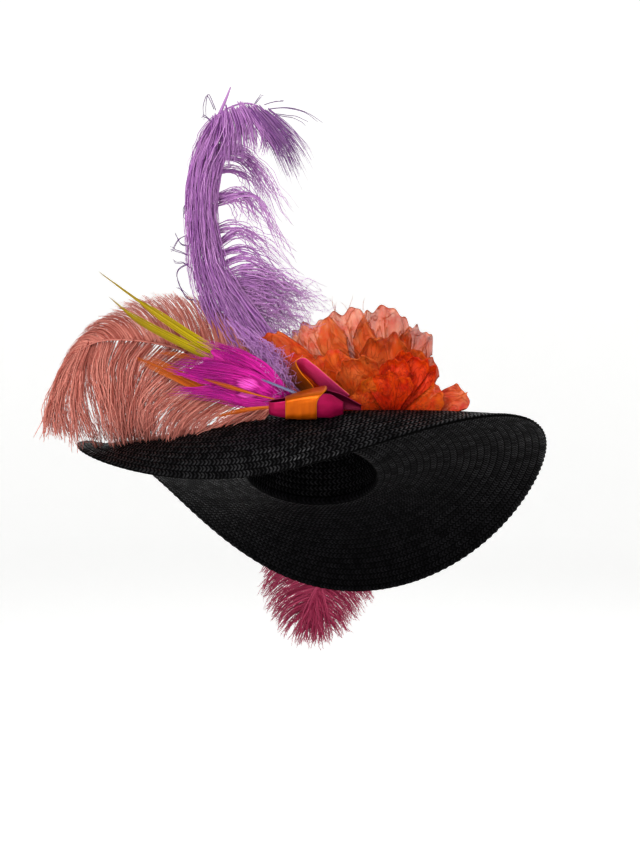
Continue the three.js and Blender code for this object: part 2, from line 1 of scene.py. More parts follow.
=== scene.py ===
# %% [markdown]
# # A straw picture hat with plumes, a bow and a flower
#
# The hat is a wide brim and a round crown sewn from rows of black straw braid. On its front sit an
# ostrich plume that stands up and curls over, one that sweeps over the brim, a dyed peacock
# feather, a few slim feathers, a satin bow and a big flower of sheer organza. A third plume hangs
# at the back.
#
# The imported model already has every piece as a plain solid. Each cell below makes the detailed
# version of one piece from the same sizes, so it stands exactly where the solid stands.

# %% Load the fixed frame and keep its box
import bmesh
import bpy
import numpy as np
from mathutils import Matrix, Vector


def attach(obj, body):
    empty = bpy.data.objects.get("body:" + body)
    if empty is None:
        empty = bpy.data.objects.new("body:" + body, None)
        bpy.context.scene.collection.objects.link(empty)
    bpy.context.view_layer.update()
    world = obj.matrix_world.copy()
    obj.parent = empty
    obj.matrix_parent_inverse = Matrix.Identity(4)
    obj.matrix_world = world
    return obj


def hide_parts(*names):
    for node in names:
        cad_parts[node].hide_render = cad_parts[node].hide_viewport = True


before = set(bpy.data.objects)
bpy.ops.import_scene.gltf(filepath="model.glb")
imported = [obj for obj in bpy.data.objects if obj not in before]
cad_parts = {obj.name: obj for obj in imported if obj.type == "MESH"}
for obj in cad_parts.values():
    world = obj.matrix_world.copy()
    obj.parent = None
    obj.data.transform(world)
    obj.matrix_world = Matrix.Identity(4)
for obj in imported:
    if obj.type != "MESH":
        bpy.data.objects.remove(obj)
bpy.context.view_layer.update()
print("nodes in the frame:", len(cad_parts))

# %% [markdown]
# ## Small tools
#
# All sizes below are millimetres and become metres when they go into a mesh. A surface here is a
# grid of points worked out with numpy, and a thin thing is that grid moved half its thickness to
# both sides and closed along its border. Doing it with arrays keeps hundreds of thousands of
# triangles quick, and the closed border keeps every mesh solid.

# %% From arrays to a mesh
MM = 0.001  # metres in a millimetre
DEPTH = np.array([0.0, 1.0, 0.0])  # away from the viewer


def unit(vectors):
    """Each vector divided by its own length."""
    return vectors / np.maximum(np.linalg.norm(vectors, axis=-1, keepdims=True), 1e-9)


def make_piece(name, corners, faces, finishes, nodes=(), uv=None, marks=None,
               face_finish=None):
    """Puts corners (millimetres) and blocks of faces into a mesh, with one UV pair for each face
    corner, one value for each mesh corner in every mark, and rides it on the root body."""
    mesh = bpy.data.meshes.new(name)
    loops = np.concatenate([block.ravel() for block in faces]).astype(np.int32)
    sizes = np.concatenate([np.full(len(block), block.shape[1]) for block in faces])
    mesh.vertices.add(len(corners))
    mesh.vertices.foreach_set("co", (corners * MM).astype(np.float32).ravel())
    mesh.loops.add(len(loops))
    mesh.loops.foreach_set("vertex_index", loops)
    mesh.polygons.add(len(sizes))
    mesh.polygons.foreach_set("loop_start", (np.cumsum(sizes) - sizes).astype(np.int32))
    mesh.update(calc_edges=True)
    if uv is not None:
        layer = mesh.uv_layers.new(name="UVMap")
        layer.uv.foreach_set("vector", np.concatenate([u.ravel() for u in uv]).astype(np.float32))
    for mark, values in (marks or {}).items():
        layer = mesh.attributes.new(mark, "FLOAT", "POINT")
        layer.data.foreach_set("value", values.astype(np.float32))
    for finish in finishes:
        mesh.materials.append(finish)
    if face_finish is not None:
        mesh.polygons.foreach_set("material_index", face_finish.astype(np.int32))
    mesh.shade_smooth()
    piece = bpy.data.objects.new(name, mesh)
    bpy.context.collection.objects.link(piece)
    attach(piece, "root")
    if nodes:
        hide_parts(*nodes)
    print(f"{name}: {int((sizes - 2).sum())} triangles")
    return piece


def merge_doubles(piece, distance):
    """Joins corners closer than distance (metres), as where a grid runs into a pole."""
    work = bmesh.new()
    work.from_mesh(piece.data)
    bmesh.ops.remove_doubles(work, verts=work.verts, dist=distance)
    work.to_mesh(piece.data)
    work.free()


# %% A closed wall round a grid of points
def grid_normals(grid, ring):
    """The direction across the columns crossed with the direction up the rows, at each point."""
    if ring:
        around = np.concatenate([grid[:, -1:], grid, grid[:, :1]], axis=1)
        across = np.gradient(around, axis=1)[:, 1:-1]
    else:
        across = np.gradient(grid, axis=1)
    return unit(np.cross(unit(across), unit(np.gradient(grid, axis=0))))


def wall_faces(rows, columns, ring):
    """Quads of the upper side, the under side and the border between them, and their places in the
    grid as (column, row). Seen from outside, each quad's corners run counter-clockwise."""
    span = columns if ring else columns - 1
    row, column = np.meshgrid(np.arange(rows - 1), np.arange(span), indexing="ij")
    row, column = row.ravel(), column.ravel()
    places = np.stack([
        np.stack([column, row], -1), np.stack([column + 1, row], -1),
        np.stack([column + 1, row + 1], -1), np.stack([column, row + 1], -1),
    ], axis=1)
    number = places[..., 1] * columns + places[..., 0] % columns
    under = rows * columns
    steps = np.arange(span)
    edges = [np.stack([steps, 0 * steps, steps + 1, 0 * steps], -1),
             np.stack([steps + 1, 0 * steps + rows - 1, steps, 0 * steps + rows - 1], -1)]
    if not ring:
        climb = np.arange(rows - 1)
        last = 0 * climb + columns - 1
        edges += [np.stack([last, climb, last, climb + 1], -1),
                  np.stack([0 * climb, climb + 1, 0 * climb, climb], -1)]
    border = np.concatenate(edges).reshape(-1, 2, 2)
    tops = border[..., 1] * columns + border[..., 0] % columns
    rim = np.stack([tops[:, 1], tops[:, 0], tops[:, 0] + under, tops[:, 1] + under], -1)
    rim_places = np.stack([border[:, 1], border[:, 0], border[:, 0], border[:, 1]], axis=1)
    faces = [number, number[:, ::-1] + under, rim]
    return faces, [places, places[:, ::-1], rim_places]


def wall_points(grid, half, ring=False):
    """The grid moved along its normals by half to one side, and then by half to the other."""
    shift = grid_normals(grid, ring) * half
    return np.concatenate([(grid + shift).reshape(-1, 3), (grid - shift).reshape(-1, 3)])


def make_wall(name, grid, half, finishes, nodes, ring=False, uv_rows=1, turn=None,
              two_faced=False, swap_uv=False):
    """A closed wall round a grid of points: half, a number or a column of them, goes to each side.
    The UV map counts to 1 along the rows and to uv_rows across them. turn is a matrix that places
    the result, and two_faced gives the under side the second finish."""
    rows, columns = grid.shape[:2]
    faces, places = wall_faces(rows, columns, ring)
    corners = wall_points(grid, np.broadcast_to(half, (rows, columns))[..., None], ring)
    if turn is not None:
        corners = corners @ turn.T
    scale = np.array([1 / (columns if ring else columns - 1), uv_rows / (rows - 1)])
    finish = np.concatenate([np.full(len(block), k == 1) for k, block in enumerate(faces)])
    order = [1, 0] if swap_uv else [0, 1]
    return make_piece(name, corners, faces, finishes, nodes,
                      uv=[(p * scale)[..., order] for p in places],
                      face_finish=finish if two_faced else None)


# %% A smooth curve through a few points
def smooth_curve(points, share):
    """A centripetal Catmull-Rom curve: it passes through every point, and share runs from 0 to 1
    with the same step for each span between two points."""
    points = np.asarray(points, float)
    whole = np.clip(np.asarray(share, float), 0, 1) * (len(points) - 1)
    span = np.minimum(whole.astype(int), len(points) - 2)
    w = (whole - span)[..., None]
    longer = np.vstack([2 * points[0] - points[1], points, 2 * points[-1] - points[-2]])
    a, b, c, d = (longer[span + k] for k in range(4))
    ab, bc, cd = (np.sqrt(np.linalg.norm(q - p, axis=-1, keepdims=True))
                  for p, q in ((a, b), (b, c), (c, d)))
    leave = ((b - a) / ab - (c - a) / (ab + bc) + (c - b) / bc) * bc
    arrive = ((c - b) / bc - (d - b) / (bc + cd) + (d - c) / cd) * bc
    squared = 3 * (c - b) - 2 * leave - arrive
    cubed = 2 * (b - c) + leave + arrive
    return b + leave * w + squared * w**2 + cubed * w**3


# %% [markdown]
# ## Colours and nodes
#
# Colours are picked as the eye sees them, in sRGB, and Cycles wants them linear. One helper adds a
# node. What it takes from another node is handed over as one of that node's outputs, or as the node
# itself, which then stands for its first output in use.

# %% Helpers for materials
def colour(code):
    """An sRGB hex colour as linear red, green, blue and full alpha."""
    parts = np.array([int(code[k:k + 2], 16) for k in (1, 3, 5)]) / 255
    linear = np.where(parts <= 0.04045, parts / 12.92, ((parts + 0.055) / 1.055) ** 2.4)
    return (*linear.tolist(), 1.0)


def put(finish, value, socket):
    """Gives a socket its value, or links it to an output or to a node's first output in use."""
    if isinstance(value, bpy.types.Node):
        value = next(output for output in value.outputs if output.enabled)
    if isinstance(value, bpy.types.NodeSocket):
        finish.node_tree.links.new(value, socket)
    else:
        socket.default_value = value


def add(finish, kind, inputs=None, **settings):
    """Adds a node to a material. kind is its type without the ShaderNode in front, settings are
    its own choices, and inputs says what each of its sockets gets."""
    node = finish.node_tree.nodes.new("ShaderNode" + kind)
    for key, value in settings.items():
        setattr(node, key, value)
    for key, value in (inputs or {}).items():
        put(finish, value, node.inputs[key])
    return node


def new_finish(name, inputs):
    """A material with one Principled shader, whose plain sockets are set on the shader itself."""
    finish = bpy.data.materials.new(name)
    finish.use_nodes = True
    shader = finish.node_tree.nodes["Principled BSDF"]
    for key, value in inputs.items():
        put(finish, value, shader.inputs[key])
    return finish, shader


# %% [markdown]
# ## Camera, light and floor
#
# The photograph looks a little down on the hat from the front with a long lens, and its light is
# soft, from all round, with a brighter side at the upper left. A round cove is used in place of
# a flat floor, because it has no horizon line from any side. It lies well below the hat, which is
# held up by its head opening.

# %% The camera stands where the photographer stood
AIM = np.array([1.5, 0.0, 59.0])
DISTANCE = 1900.0
PITCH = np.radians(4.0)
FOCAL_PIXELS = 1557.0
FRAME = (640, 853)
SHIFT = 7.0  # pixels that the frame is moved sideways
SENSOR = 36.0

camera = bpy.data.objects.new("camera", bpy.data.cameras.new("camera"))
bpy.context.collection.objects.link(camera)
camera.data.sensor_width = SENSOR
camera.data.lens = SENSOR * FOCAL_PIXELS / max(FRAME)
camera.data.shift_x = SHIFT / max(FRAME)
camera.location = (AIM + DISTANCE * np.array([0, -np.cos(PITCH), np.sin(PITCH)])) * MM
camera.rotation_euler = (np.pi / 2 - PITCH, 0, 0)
bpy.context.scene.camera = camera
print("lens in millimetres:", round(camera.data.lens, 1))


# %% From a place in the frame to a place in space
def seen(places, depth):
    """The points at a depth (millimetres along y) that show at (column, row) of the frame: the line
    of sight through that place of the image is followed until it reaches the depth."""
    places = np.asarray(places, float)
    ahead = np.array([0, np.cos(PITCH), -np.sin(PITCH)])
    above = np.array([0, np.sin(PITCH), np.cos(PITCH)])
    eye = AIM - DISTANCE * ahead
    right = (places[..., :1] - (FRAME[0] / 2 - SHIFT)) * [1, 0, 0]
    ray = right + (FRAME[1] / 2 - places[..., 1:]) * above + FOCAL_PIXELS * ahead
    return eye + ray * ((np.asarray(depth, float) - eye[1]) / ray[..., 1])[..., None]


# %% Soft boxes round the hat
LIGHT_AIM = (0, 0, 0.1)
# Each row: name, place and size in metres, and watts.
SOFT_BOXES = [
    ("key_light", (-1.1, -2.4, 1.7), 0.9, 54),
    ("front_light", (-0.5, -2.7, -0.1), 0.5, 11),
    ("fill_light", (2.3, -1.9, 0.4), 1.4, 8),
    ("top_light", (0.2, 0.4, 3.0), 2.0, 34),
    ("back_light", (0.5, 2.6, 1.6), 1.6, 8),
]
for name, place, size, watts in SOFT_BOXES:
    lamp = bpy.data.lights.new(name, "AREA")
    lamp.size = size
    lamp.energy = watts
    holder = bpy.data.objects.new(name, lamp)
    bpy.context.collection.objects.link(holder)
    holder.location = place
    away = Vector(place) - Vector(LIGHT_AIM)
    holder.rotation_euler = away.to_track_quat("Z", "Y").to_euler()
print("soft boxes:", len(SOFT_BOXES))

world = bpy.data.worlds.new("studio")
world.use_nodes = True
world.node_tree.nodes["Background"].inputs["Color"].default_value = (1, 1, 1, 1)
world.node_tree.nodes["Background"].inputs["Strength"].default_value = 0.32
bpy.context.scene.world = world
bpy.context.scene.view_settings.view_transform = "Standard"

# %% A pale cove far below, lit from behind like a light table
COVE_DROP, COVE_FLAT, COVE_BEND, COVE_TOP = 760, 5000, 2000, 3500
cove_finish, _ = new_finish("lit_white_acrylic", {
    "Base Color": colour("#f6f6f5"), "Roughness": 0.9,
    "Emission Color": (1, 1, 1, 1), "Emission Strength": 0.35,
})
turns = np.linspace(0, 2 * np.pi, 97)[:-1]
bend = np.linspace(0, np.pi / 2, 13)
cove_out = np.concatenate([[0.02, COVE_FLAT / 2], COVE_FLAT + COVE_BEND * np.sin(bend),
                           [COVE_FLAT + COVE_BEND]])
cove_up = np.concatenate([[0, 0], COVE_BEND * (1 - np.cos(bend)), [COVE_TOP]]) - COVE_DROP
cove_grid = np.stack([
    cove_out[:, None] * np.cos(turns), -cove_out[:, None] * np.sin(turns),
    np.repeat(cove_up[:, None], len(turns), axis=1),
], -1)
faces, _ = wall_faces(len(cove_out), len(turns), True)
cove_mesh = bpy.data.meshes.new("cove")
cove_mesh.from_pydata((cove_grid.reshape(-1, 3) * MM).tolist(), [], faces[0][:, ::-1].tolist())
cove_mesh.shade_smooth()
cove_mesh.materials.append(cove_finish)
cove = bpy.data.objects.new("cove", cove_mesh)
bpy.context.collection.objects.link(cove)

# %% [markdown]
# ## Sewn straw braid
#
# The hat's body is one long plaited straw braid, about 8 mm wide, sewn round and round so that each
# row overlaps the last. The rows are real ridges in the mesh. The plait inside a row, a V every
# 5.5 mm, is too fine for the mesh and is drawn in the material: the UV map counts turns round the
# hat one way and rows the other, so the V's follow every curve of the brim.

# %% The braid as a material
ROW_WIDTH = 8.0
STITCH = 5.5
SLANT = 1.3  # how far the arms of a V lean back, in stitches for each row width across


def straw_braid(name, first, growth, most, shine=0.3):
    """Dyed straw: waxy, so its high points glint. Its colour is near black in the grooves and a
    little lighter on the high points, which is painted shade, with a random tone for each stitch. A
    row has first plus growth times its number of V's in a turn, and never more than most. shine is
    how
    much its waxed high points reflect: the underside is given less, which is painted shade."""
    finish, shader = new_finish(name, {"Roughness": 0.5, "IOR": 1.5})
    place = add(finish, "UVMap", uv_map="UVMap")
    split = add(finish, "SeparateXYZ", {"Vector": place})
    row = add(finish, "Math", {0: split.outputs["Y"]}, operation="FLOOR")
    across = add(finish, "Math", {0: split.outputs["Y"]}, operation="FRACT")
    grown = add(finish, "Math", {0: row, 1: growth, 2: first}, operation="MULTIPLY_ADD")
    capped = add(finish, "Math", {0: grown, 1: most}, operation="MINIMUM")
    count = add(finish, "Math", {0: capped}, operation="ROUND")
    along = add(finish, "Math", {0: split.outputs["X"], 1: count}, operation="MULTIPLY")
    lean = add(finish, "Math", {0: across, 1: 0.5}, operation="SUBTRACT")
    vee = add(finish, "Math", {0: lean}, operation="ABSOLUTE")
    phase = add(finish, "Math", {0: vee, 1: SLANT, 2: along}, operation="MULTIPLY_ADD")
    turn = add(finish, "Math", {0: phase, 1: 2 * np.pi}, operation="MULTIPLY")
    wave = add(finish, "Math", {0: turn}, operation="COSINE")
    straw = add(finish, "MapRange", {"Value": wave, "From Min": -1.0, "From Max": 0.7})
    edge = add(finish, "MapRange", {"Value": vee, "From Min": 0.5, "From Max": 0.36})
    spine = add(finish, "MapRange", {"Value": vee, "From Max": 0.07, "To Min": 0.45})
    domed = add(finish, "Math", {0: straw, 1: edge}, operation="MULTIPLY")
    height = add(finish, "Math", {0: domed, 1: spine}, operation="MULTIPLY")
    spot = add(finish, "CombineXYZ", {"X": phase, "Y": row})
    single = add(finish, "VectorMath", {0: spot}, operation="FLOOR")
    chance = add(finish, "TexWhiteNoise", {"Vector": single}, noise_dimensions="2D")
    tone = add(finish, "MapRange", {"Value": chance.outputs["Value"], "To Min": 0.35})
    lit = add(finish, "Math", {0: height, 1: tone}, operation="MULTIPLY")
    # Colour goes from near black in the grooves to a little lighter on the high points: painted
    # shade, times a random tone for each stitch.
    dyed = add(finish, "Mix", {0: lit, 6: colour("#010101"), 7: colour("#0d0c0f")},
               data_type="RGBA")
    gloss = add(finish, "MapRange", {"Value": lit, "To Min": 0.8, "To Max": 0.28})
    wax = add(finish, "MapRange", {"Value": lit, "From Min": 0.25, "To Min": 0.02, "To Max": shine})
    bump = add(finish, "Bump", {"Strength": 0.85, "Distance": 0.0009, "Height": height})
    put(finish, dyed, shader.inputs["Base Color"])
    put(finish, gloss, shader.inputs["Roughness"])
    put(finish, wax, shader.inputs["Specular IOR Level"])
    put(finish, bump, shader.inputs["Normal"])
    return finish


# %% The hat's own sizes, and how it leans
HEAD = {"half_width": 80.0, "half_length": 98.0}
STRAW = 2.4
BRIM = {"reach": 288.0, "collar": 10.0, "root_slope": -16.0, "growth": 1.3, "rows": 25}
EDGE_SLOPES = np.array([5, 30, 74, 3, -23, 53, 107, 50.0])
CROWN = np.array([[1, 3.1], [0.965, 62], [0.9, 88], [0.77, 99], [0.45, 105], [0, 107]])
CROWN_CLEARANCE = 2.1


def leaning(back, tip, turn):
    """The turn of the worn hat: leaned back about X, then tipped about Y, then turned about Z."""
    (cb, cp, ct), (sb, sp, st) = np.cos([back, tip, turn]), np.sin([back, tip, turn])
    about_x = np.array([[1, 0, 0], [0, cb, -sb], [0, sb, cb]])
    about_y = np.array([[cp, 0, sp], [0, 1, 0], [-sp, 0, cp]])
    about_z = np.array([[ct, -st, 0], [st, ct, 0], [0, 0, 1]])
    return about_z @ about_y @ about_x


WORN = leaning(*np.radians([-28, -6.5, -13.5]))


def head_radius(angle):
    """The oval of the head at an angle: the product of its half axes over the crossed distance."""
    long_part = HEAD["half_length"] * np.cos(angle)
    wide_part = HEAD["half_width"] * np.sin(angle)
    return HEAD["half_width"] * HEAD["half_length"] / np.hypot(long_part, wide_part)


# %% [markdown]
# ## The brim
#
# Seen from the side the brim is a line that starts at the head, rises a little and then bends over
# more and more. How far it has bent at its edge differs round the hat: eight slopes are given, and
# one smooth wave joins them. That gives the deep dip in front, the turned-up side and the drop at
# the back with very few numbers.

# %% The brim's middle surface
def edge_slope(angle):
    """The eight slopes joined by the smoothest wave through them, which is a sum of shifted
    sine-over-tangent bells, each 1 at its own slope and 0 at the others."""
    away = angle[:, None] - np.arange(8) * np.pi / 4
    close = np.abs(np.sin(away / 2)) < 1e-9
    bell = np.where(close, 1, np.sin(4 * away) / (8 * np.tan(np.where(close, 1, away) / 2)))
    return bell @ EDGE_SLOPES


def brim_lines(angle, steps):
    """For each angle the line from the head to the edge in even steps: its slope is the root slope
    plus the edge's difference times the share along it to a power, summed up in short runs."""
    fine = 4
    along = (np.arange(steps * fine) + 0.5) / (steps * fine)
    root = np.radians(BRIM["root_slope"])
    slope = root + (np.radians(edge_slope(angle))[:, None] - root) * along**BRIM["growth"]
    run = (BRIM["reach"] - head_radius(angle))[:, None] / (steps * fine)
    start = np.zeros((len(angle), 1))
    out = head_radius(angle)[:, None] + np.hstack([start, np.cumsum(np.cos(slope) * run, axis=1)])
    up = np.hstack([start, -np.cumsum(np.sin(slope) * run, axis=1)])
    return out[:, ::fine], up[:, ::fine]


ROW_ARCH, ROW_TILT, ROW_SINK = 0.65, 0.3, 0.3


def row_relief(rows):
    """Height of the sewn rows over the wall: an arch across each row, tilted a little because each
    row overlaps the next, and sunk so that the arch lies half above the wall."""
    across = rows % 1
    return ROW_ARCH * 4 * across * (1 - across) + ROW_TILT * (across - 0.5) - ROW_SINK


# %% Mesh the brim, from its edge in to the collar that stands inside the crown
BRIM_COLUMNS = 336
PER_ROW = 4
SCALLOP, SCALLOP_FADE = 0.8, 1.4  # reach of the edge's small bows, and how soon they end
EDGE_ROLL = 0.7
angle = np.arange(BRIM_COLUMNS) * 2 * np.pi / BRIM_COLUMNS
out, up = brim_lines(angle, BRIM["rows"] * PER_ROW)
collar_up = np.linspace(BRIM["collar"], 0, PER_ROW + 1)[:-1][::-1]
out = np.hstack([out[:, ::-1], np.repeat(out[:, :1], PER_ROW, axis=1)]).T
up = np.hstack([up[:, ::-1], np.repeat(collar_up[None], BRIM_COLUMNS, axis=0)]).T
brim_rows = np.arange(out.shape[0]) / PER_ROW
bows = np.where(np.arange(BRIM_COLUMNS) % 2, SCALLOP, -SCALLOP)
out = out + bows * np.clip(1 - brim_rows * SCALLOP_FADE, 0, 1)[:, None]
brim_grid = np.stack([out * np.cos(angle), out * np.sin(angle), up], -1)
edge_roll = EDGE_ROLL * np.clip(1 - np.abs(brim_rows - 0.5), 0, 1)
brim_half = STRAW / 2 + row_relief(brim_rows) * (brim_rows < BRIM["rows"]) + edge_roll
edge_stitches = 2 * np.pi * (BRIM["reach"] - ROW_WIDTH / 2) / STITCH
fewer = -2 * np.pi * ROW_WIDTH / STITCH
# The underside gets a copy of the braid whose high points reflect a fifth as much: painted shade,
# so the brim's underside reads darker.
brim_finishes = [straw_braid("dyed_straw_braid_" + side, edge_stitches, fewer, edge_stitches, shine)
                 for side, shine in (("brim", 0.3), ("underside", 0.06))]
make_wall("brim", brim_grid, brim_half[:, None], brim_finishes, ["straw_brim"],
          ring=True, two_faced=True, uv_rows=brim_rows[-1], turn=WORN)

# %% [markdown]
# ## The crown
#
# The crown is the same braid, wound up the wall and over the top to the middle. Its outline is six
# points joined smoothly, walked in even steps, so that its rows are as wide as the brim's.

# %% Mesh the crown
CROWN_COLUMNS = 160
CROWN_RADIUS = 92.0  # between the oval's two half axes: the rows are counted on it
POLE_FADE = 0.06  # share of the radius over which the relief ends at the middle of the top
outline = np.column_stack([CROWN[:, 0] * CROWN_RADIUS, CROWN[:, 1], 0 * CROWN[:, 0]])
fine_share = smooth_curve(outline, np.linspace(0, 1, 400))
walked = np.concatenate([[0], np.cumsum(np.linalg.norm(np.diff(fine_share, axis=0), axis=1))])
crown_rows_count = int(round(walked[-1] / ROW_WIDTH))
crown_rows = np.arange(crown_rows_count * PER_ROW + 1) / PER_ROW
even = crown_rows / crown_rows_count * walked[-1]
crown_share = np.interp(even, walked, fine_share[:, 0]) / CROWN_RADIUS
crown_share[-1] = 0
crown_up = np.interp(even, walked, fine_share[:, 1])
angle = np.arange(CROWN_COLUMNS) * 2 * np.pi / CROWN_COLUMNS
reach = head_radius(angle) + CROWN_CLEARANCE + STRAW / 2
out = crown_share[:, None] * reach
crown_grid = np.stack([out * np.cos(angle), out * np.sin(angle),
                       np.repeat(crown_up[:, None], CROWN_COLUMNS, axis=1)], -1)
wall_stitches = 2 * np.pi * CROWN_RADIUS / STITCH
crown_braid = straw_braid("dyed_straw_braid_crown",
                          2 * np.pi * ROW_WIDTH * crown_rows_count / STITCH, fewer, wall_stitches)
fade = np.clip(crown_share / POLE_FADE, 0, 1)
crown_half = (STRAW / 2 + row_relief(crown_rows) * fade)[:, None]
crown = make_wall("crown", crown_grid, crown_half, [crown_braid], ["straw_crown"],
                  ring=True, uv_rows=crown_rows_count, turn=WORN)
merge_doubles(crown, 2e-5)
print("rows of braid on the crown:", crown_rows_count)

# %% [markdown]
# ## The satin bow
#
# The bow is ribbon with an orange face and a raspberry one. Satin is woven so that long warp
# threads lie on top, which gives a bright line across each fold. Its woven edge, the selvedge, is
# a thin paler line. The knot is a band round the middle, the pink ribbon runs through it and ends
# in an open fold, and a loop rises behind it, pink inside.

# %% Satin as a material
def satin(name, deep, face, selvedge, mirror=0.6):
    """Double-face satin: a glossy weave that mirrors in its own colour, as its light goes through
    the dyed threads. They are about 0.25 mm apart, drawn at 0.5 mm so that they show. A selvedge
    line runs along both borders. mirror is the share of the light that is mirrored."""
    finish, shader = new_finish(name, {"Roughness": 0.34, "Specular IOR Level": 0.15, "IOR": 1.5,
                                       "Metallic": mirror})
    place = add(finish, "UVMap", uv_map="UVMap")
    split = add(finish, "SeparateXYZ", {"Vector": place})
    border = add(finish, "Math", {0: split.outputs["X"], 1: 0.5}, operation="SUBTRACT")
    out = add(finish, "Math", {0: border}, operation="ABSOLUTE")
    line = add(finish, "MapRange", {"Value": out, "From Min": 0.468, "From Max": 0.485})
    soft = add(finish, "TexNoise", {"Vector": place, "Scale": 5.0, "Detail": 2.0})
    cloth = add(finish, "Mix", {0: soft.outputs["Fac"], 6: colour(deep), 7: colour(face)},
                data_type="RGBA")
    edged = add(finish, "Mix", {0: line, 6: cloth, 7: colour(selvedge)}, data_type="RGBA")
    threads = add(finish, "TexWave", {"Vector": place, "Scale": 24.0, "Distortion": 0.4},
                  bands_direction="X")
    bump = add(finish, "Bump", {"Strength": 0.12, "Distance": 0.0002,
                                "Height": threads.outputs["Fac"]})
    put(finish, edged, shader.inputs["Base Color"])
    put(finish, bump, shader.inputs["Normal"])
    return finish


orange_satin = satin("orange_satin_face", "#8c3400", "#c45c00", "#c46806")
pink_satin = satin("raspberry_satin_face", "#700028", "#a40c48", "#9c2450")
# A much brighter copy of the raspberry face for the upper loop's inside: painted light.
painted_light_satin = satin("raspberry_satin_painted_light", "#d81464", "#ff5a9a", "#d84880", 0.2)
# A much darker copy of the raspberry face for the inside of the ribbon's open fold: painted shade.
painted_shade_satin = satin("raspberry_satin_painted_shade", "#3c0218", "#640828", "#8c2048")

# %% Sizes of the bow, in its own frame
KNOT = {"angle": 282.0, "share": 0.63, "lift": 16.0, "width": 34.0, "flare": 11.0}
# Half height, half depth and height of the middle, at the knot's narrow left end and at its wide
# right one.
KNOT_ENDS = np.array([[11.5, 9, -3], [17, 15, 3.0]])
KNOT_LEAN = np.radians(18)
RIBBON_HALF = 0.35  # half its thickness
# Route of the pink ribbon through the knot: x, y, z and half its height there.
PINK_RIBBON = np.array([
    [66, 10, -7, 3], [42, 10, 0, 10], [16, 9, 2.5, 14], [-19, 5.5, -3, 9.5], [-31, 4, -3, 7.5],
    [-35, 0, -3, 6.7], [-31, -4, -3, 7.5], [-19, -5.5, -3, 9.5], [16, -9, 2.5, 14],
    [32, -8.5, 2, 14], [46, -4, -2, 7],
])
# The upper loop's near edge: x and z, from its end under the flower round its tip to the knot. Then
# its depth there, and the way from that edge to the far one.
UPPER_LOOP = np.array([
    [42, 107], [22, 124], [2, 141], [-9, 148], [-17, 144], [-11, 131], [1, 117], [6, 102.0],
])
LOOP_NEAR = -187.0
LOOP_ACROSS = np.array([-11, 34, -11.0])


def on_brim(degrees, share, lift):
    """A place on the brim's upper face, lifted off it along its normal."""
    at = np.radians([degrees])
    steps = 400
    out, up = brim_lines(at, steps)
    k = int(round(share * steps))
    run = unit(np.array([out[0, k] - out[0, k - 1], up[0, k] - up[0, k - 1]]))
    high = lift + STRAW / 2
    o, u = out[0, k] - run[1] * high, up[0, k] + run[0] * high
    return WORN @ np.array([o * np.cos(at[0]), o * np.sin(at[0]), u])


KNOT_CENTRE = on_brim(KNOT["angle"], KNOT["share"], KNOT["lift"])
print("middle of the knot:", np.round(KNOT_CENTRE, 1))


def in_bow(x, y, z):
    """From the bow's own frame, leaned with the brim under it, to the hat's."""
    c, s = np.cos(KNOT_LEAN), np.sin(KNOT_LEAN)
    x, y, z = np.broadcast_arrays(x, y, z)
    return np.stack([x, y * c - z * s, y * s + z * c], -1) + KNOT_CENTRE


FILLED = (0.31, 0.99)  # a sheet never fills less or more of its own rectangle than this


def declare_cloth(grids):
    """Prints the size of cloth that a piece is cut from, as its middle surfaces measure side by
    side:
    the longest row, the longest column, and the sum of its cells' areas."""
    across = sum(np.linalg.norm(np.diff(grid, axis=1), axis=2).sum(axis=1).max() for grid in grids)
    along = max(np.linalg.norm(np.diff(grid, axis=0), axis=2).sum(axis=0).max() for grid in grids)
    cells = [np.cross(np.diff(grid, axis=1)[:-1], np.diff(grid, axis=0)[:, :-1]) for grid in grids]
    area = sum(np.linalg.norm(cell, axis=2).sum() for cell in cells)
    area = np.clip(area, FILLED[0] * across * along, FILLED[1] * across * along)
    print(f"  cut {across:.0f} by {along:.0f} mm, {area / 100:.0f} square cm")


# %% The knot: a rounded box of ribbon, closed round the middle of the bow
loop = np.arange(96) * 2 * np.pi / 96
width = np.linspace(0, 1, 21)[:, None]


def rounded(value):
    """A value bent towards a square: its sign times its size to the power two thirds."""
    return np.sign(value) * np.abs(value) ** (2 / 3)


swell = 1 + 0.05 * np.sin(np.pi * width)
half_high, half_deep, middle = (KNOT_ENDS[0, k] * (1 - width) + KNOT_ENDS[1, k] * width
                                for k in range(3))
crease = 0.35 * np.sin(5 * np.pi * width + 0.7) * np.clip(-np.cos(loop), 0, 1)
flare = KNOT["flare"] * width**2 * np.clip(np.cos(loop), 0, 1) ** 2
knot_grid = in_bow((width - 0.5) * KNOT["width"] + flare,
                   -rounded(np.sin(loop)) * half_deep * swell - crease,
                   middle + rounded(np.cos(loop)) * half_high * swell)
knot = make_wall("bow_band", knot_grid, RIBBON_HALF, [orange_satin, pink_satin],
                 ["bow_knot"], ring=True, two_faced=True, swap_uv=True)
closed = np.concatenate([knot_grid, knot_grid[:, :1]], axis=1)
declare_cloth([closed])

# %% The ribbon that runs through the knot, back to front round its left fold
share = np.linspace(0, 1, 97)
route = smooth_curve(PINK_RIBBON[:, :3], share)
half_height = np.interp(share * (len(PINK_RIBBON) - 1), np.arange(len(PINK_RIBBON)),
                        PINK_RIBBON[:, 3])
across = np.linspace(-1, 1, 17)
bulge = np.sign(route[:, 1:2]) * 1.6 * (1 - across**2)
ribbon_grid = in_bow(route[:, 0:1], route[:, 1:2] + bulge,
                     route[:, 2:3] + half_height[:, None] * across)
# The ribbon's inner face, seen in the hollow of its open fold, takes a much darker copy of the
# raspberry satin: painted shade.
ribbon = make_wall("bow_ribbon_pink", ribbon_grid, RIBBON_HALF, [painted_shade_satin, pink_satin],
                   ["bow_ribbon"], two_faced=True)
declare_cloth([ribbon_grid])

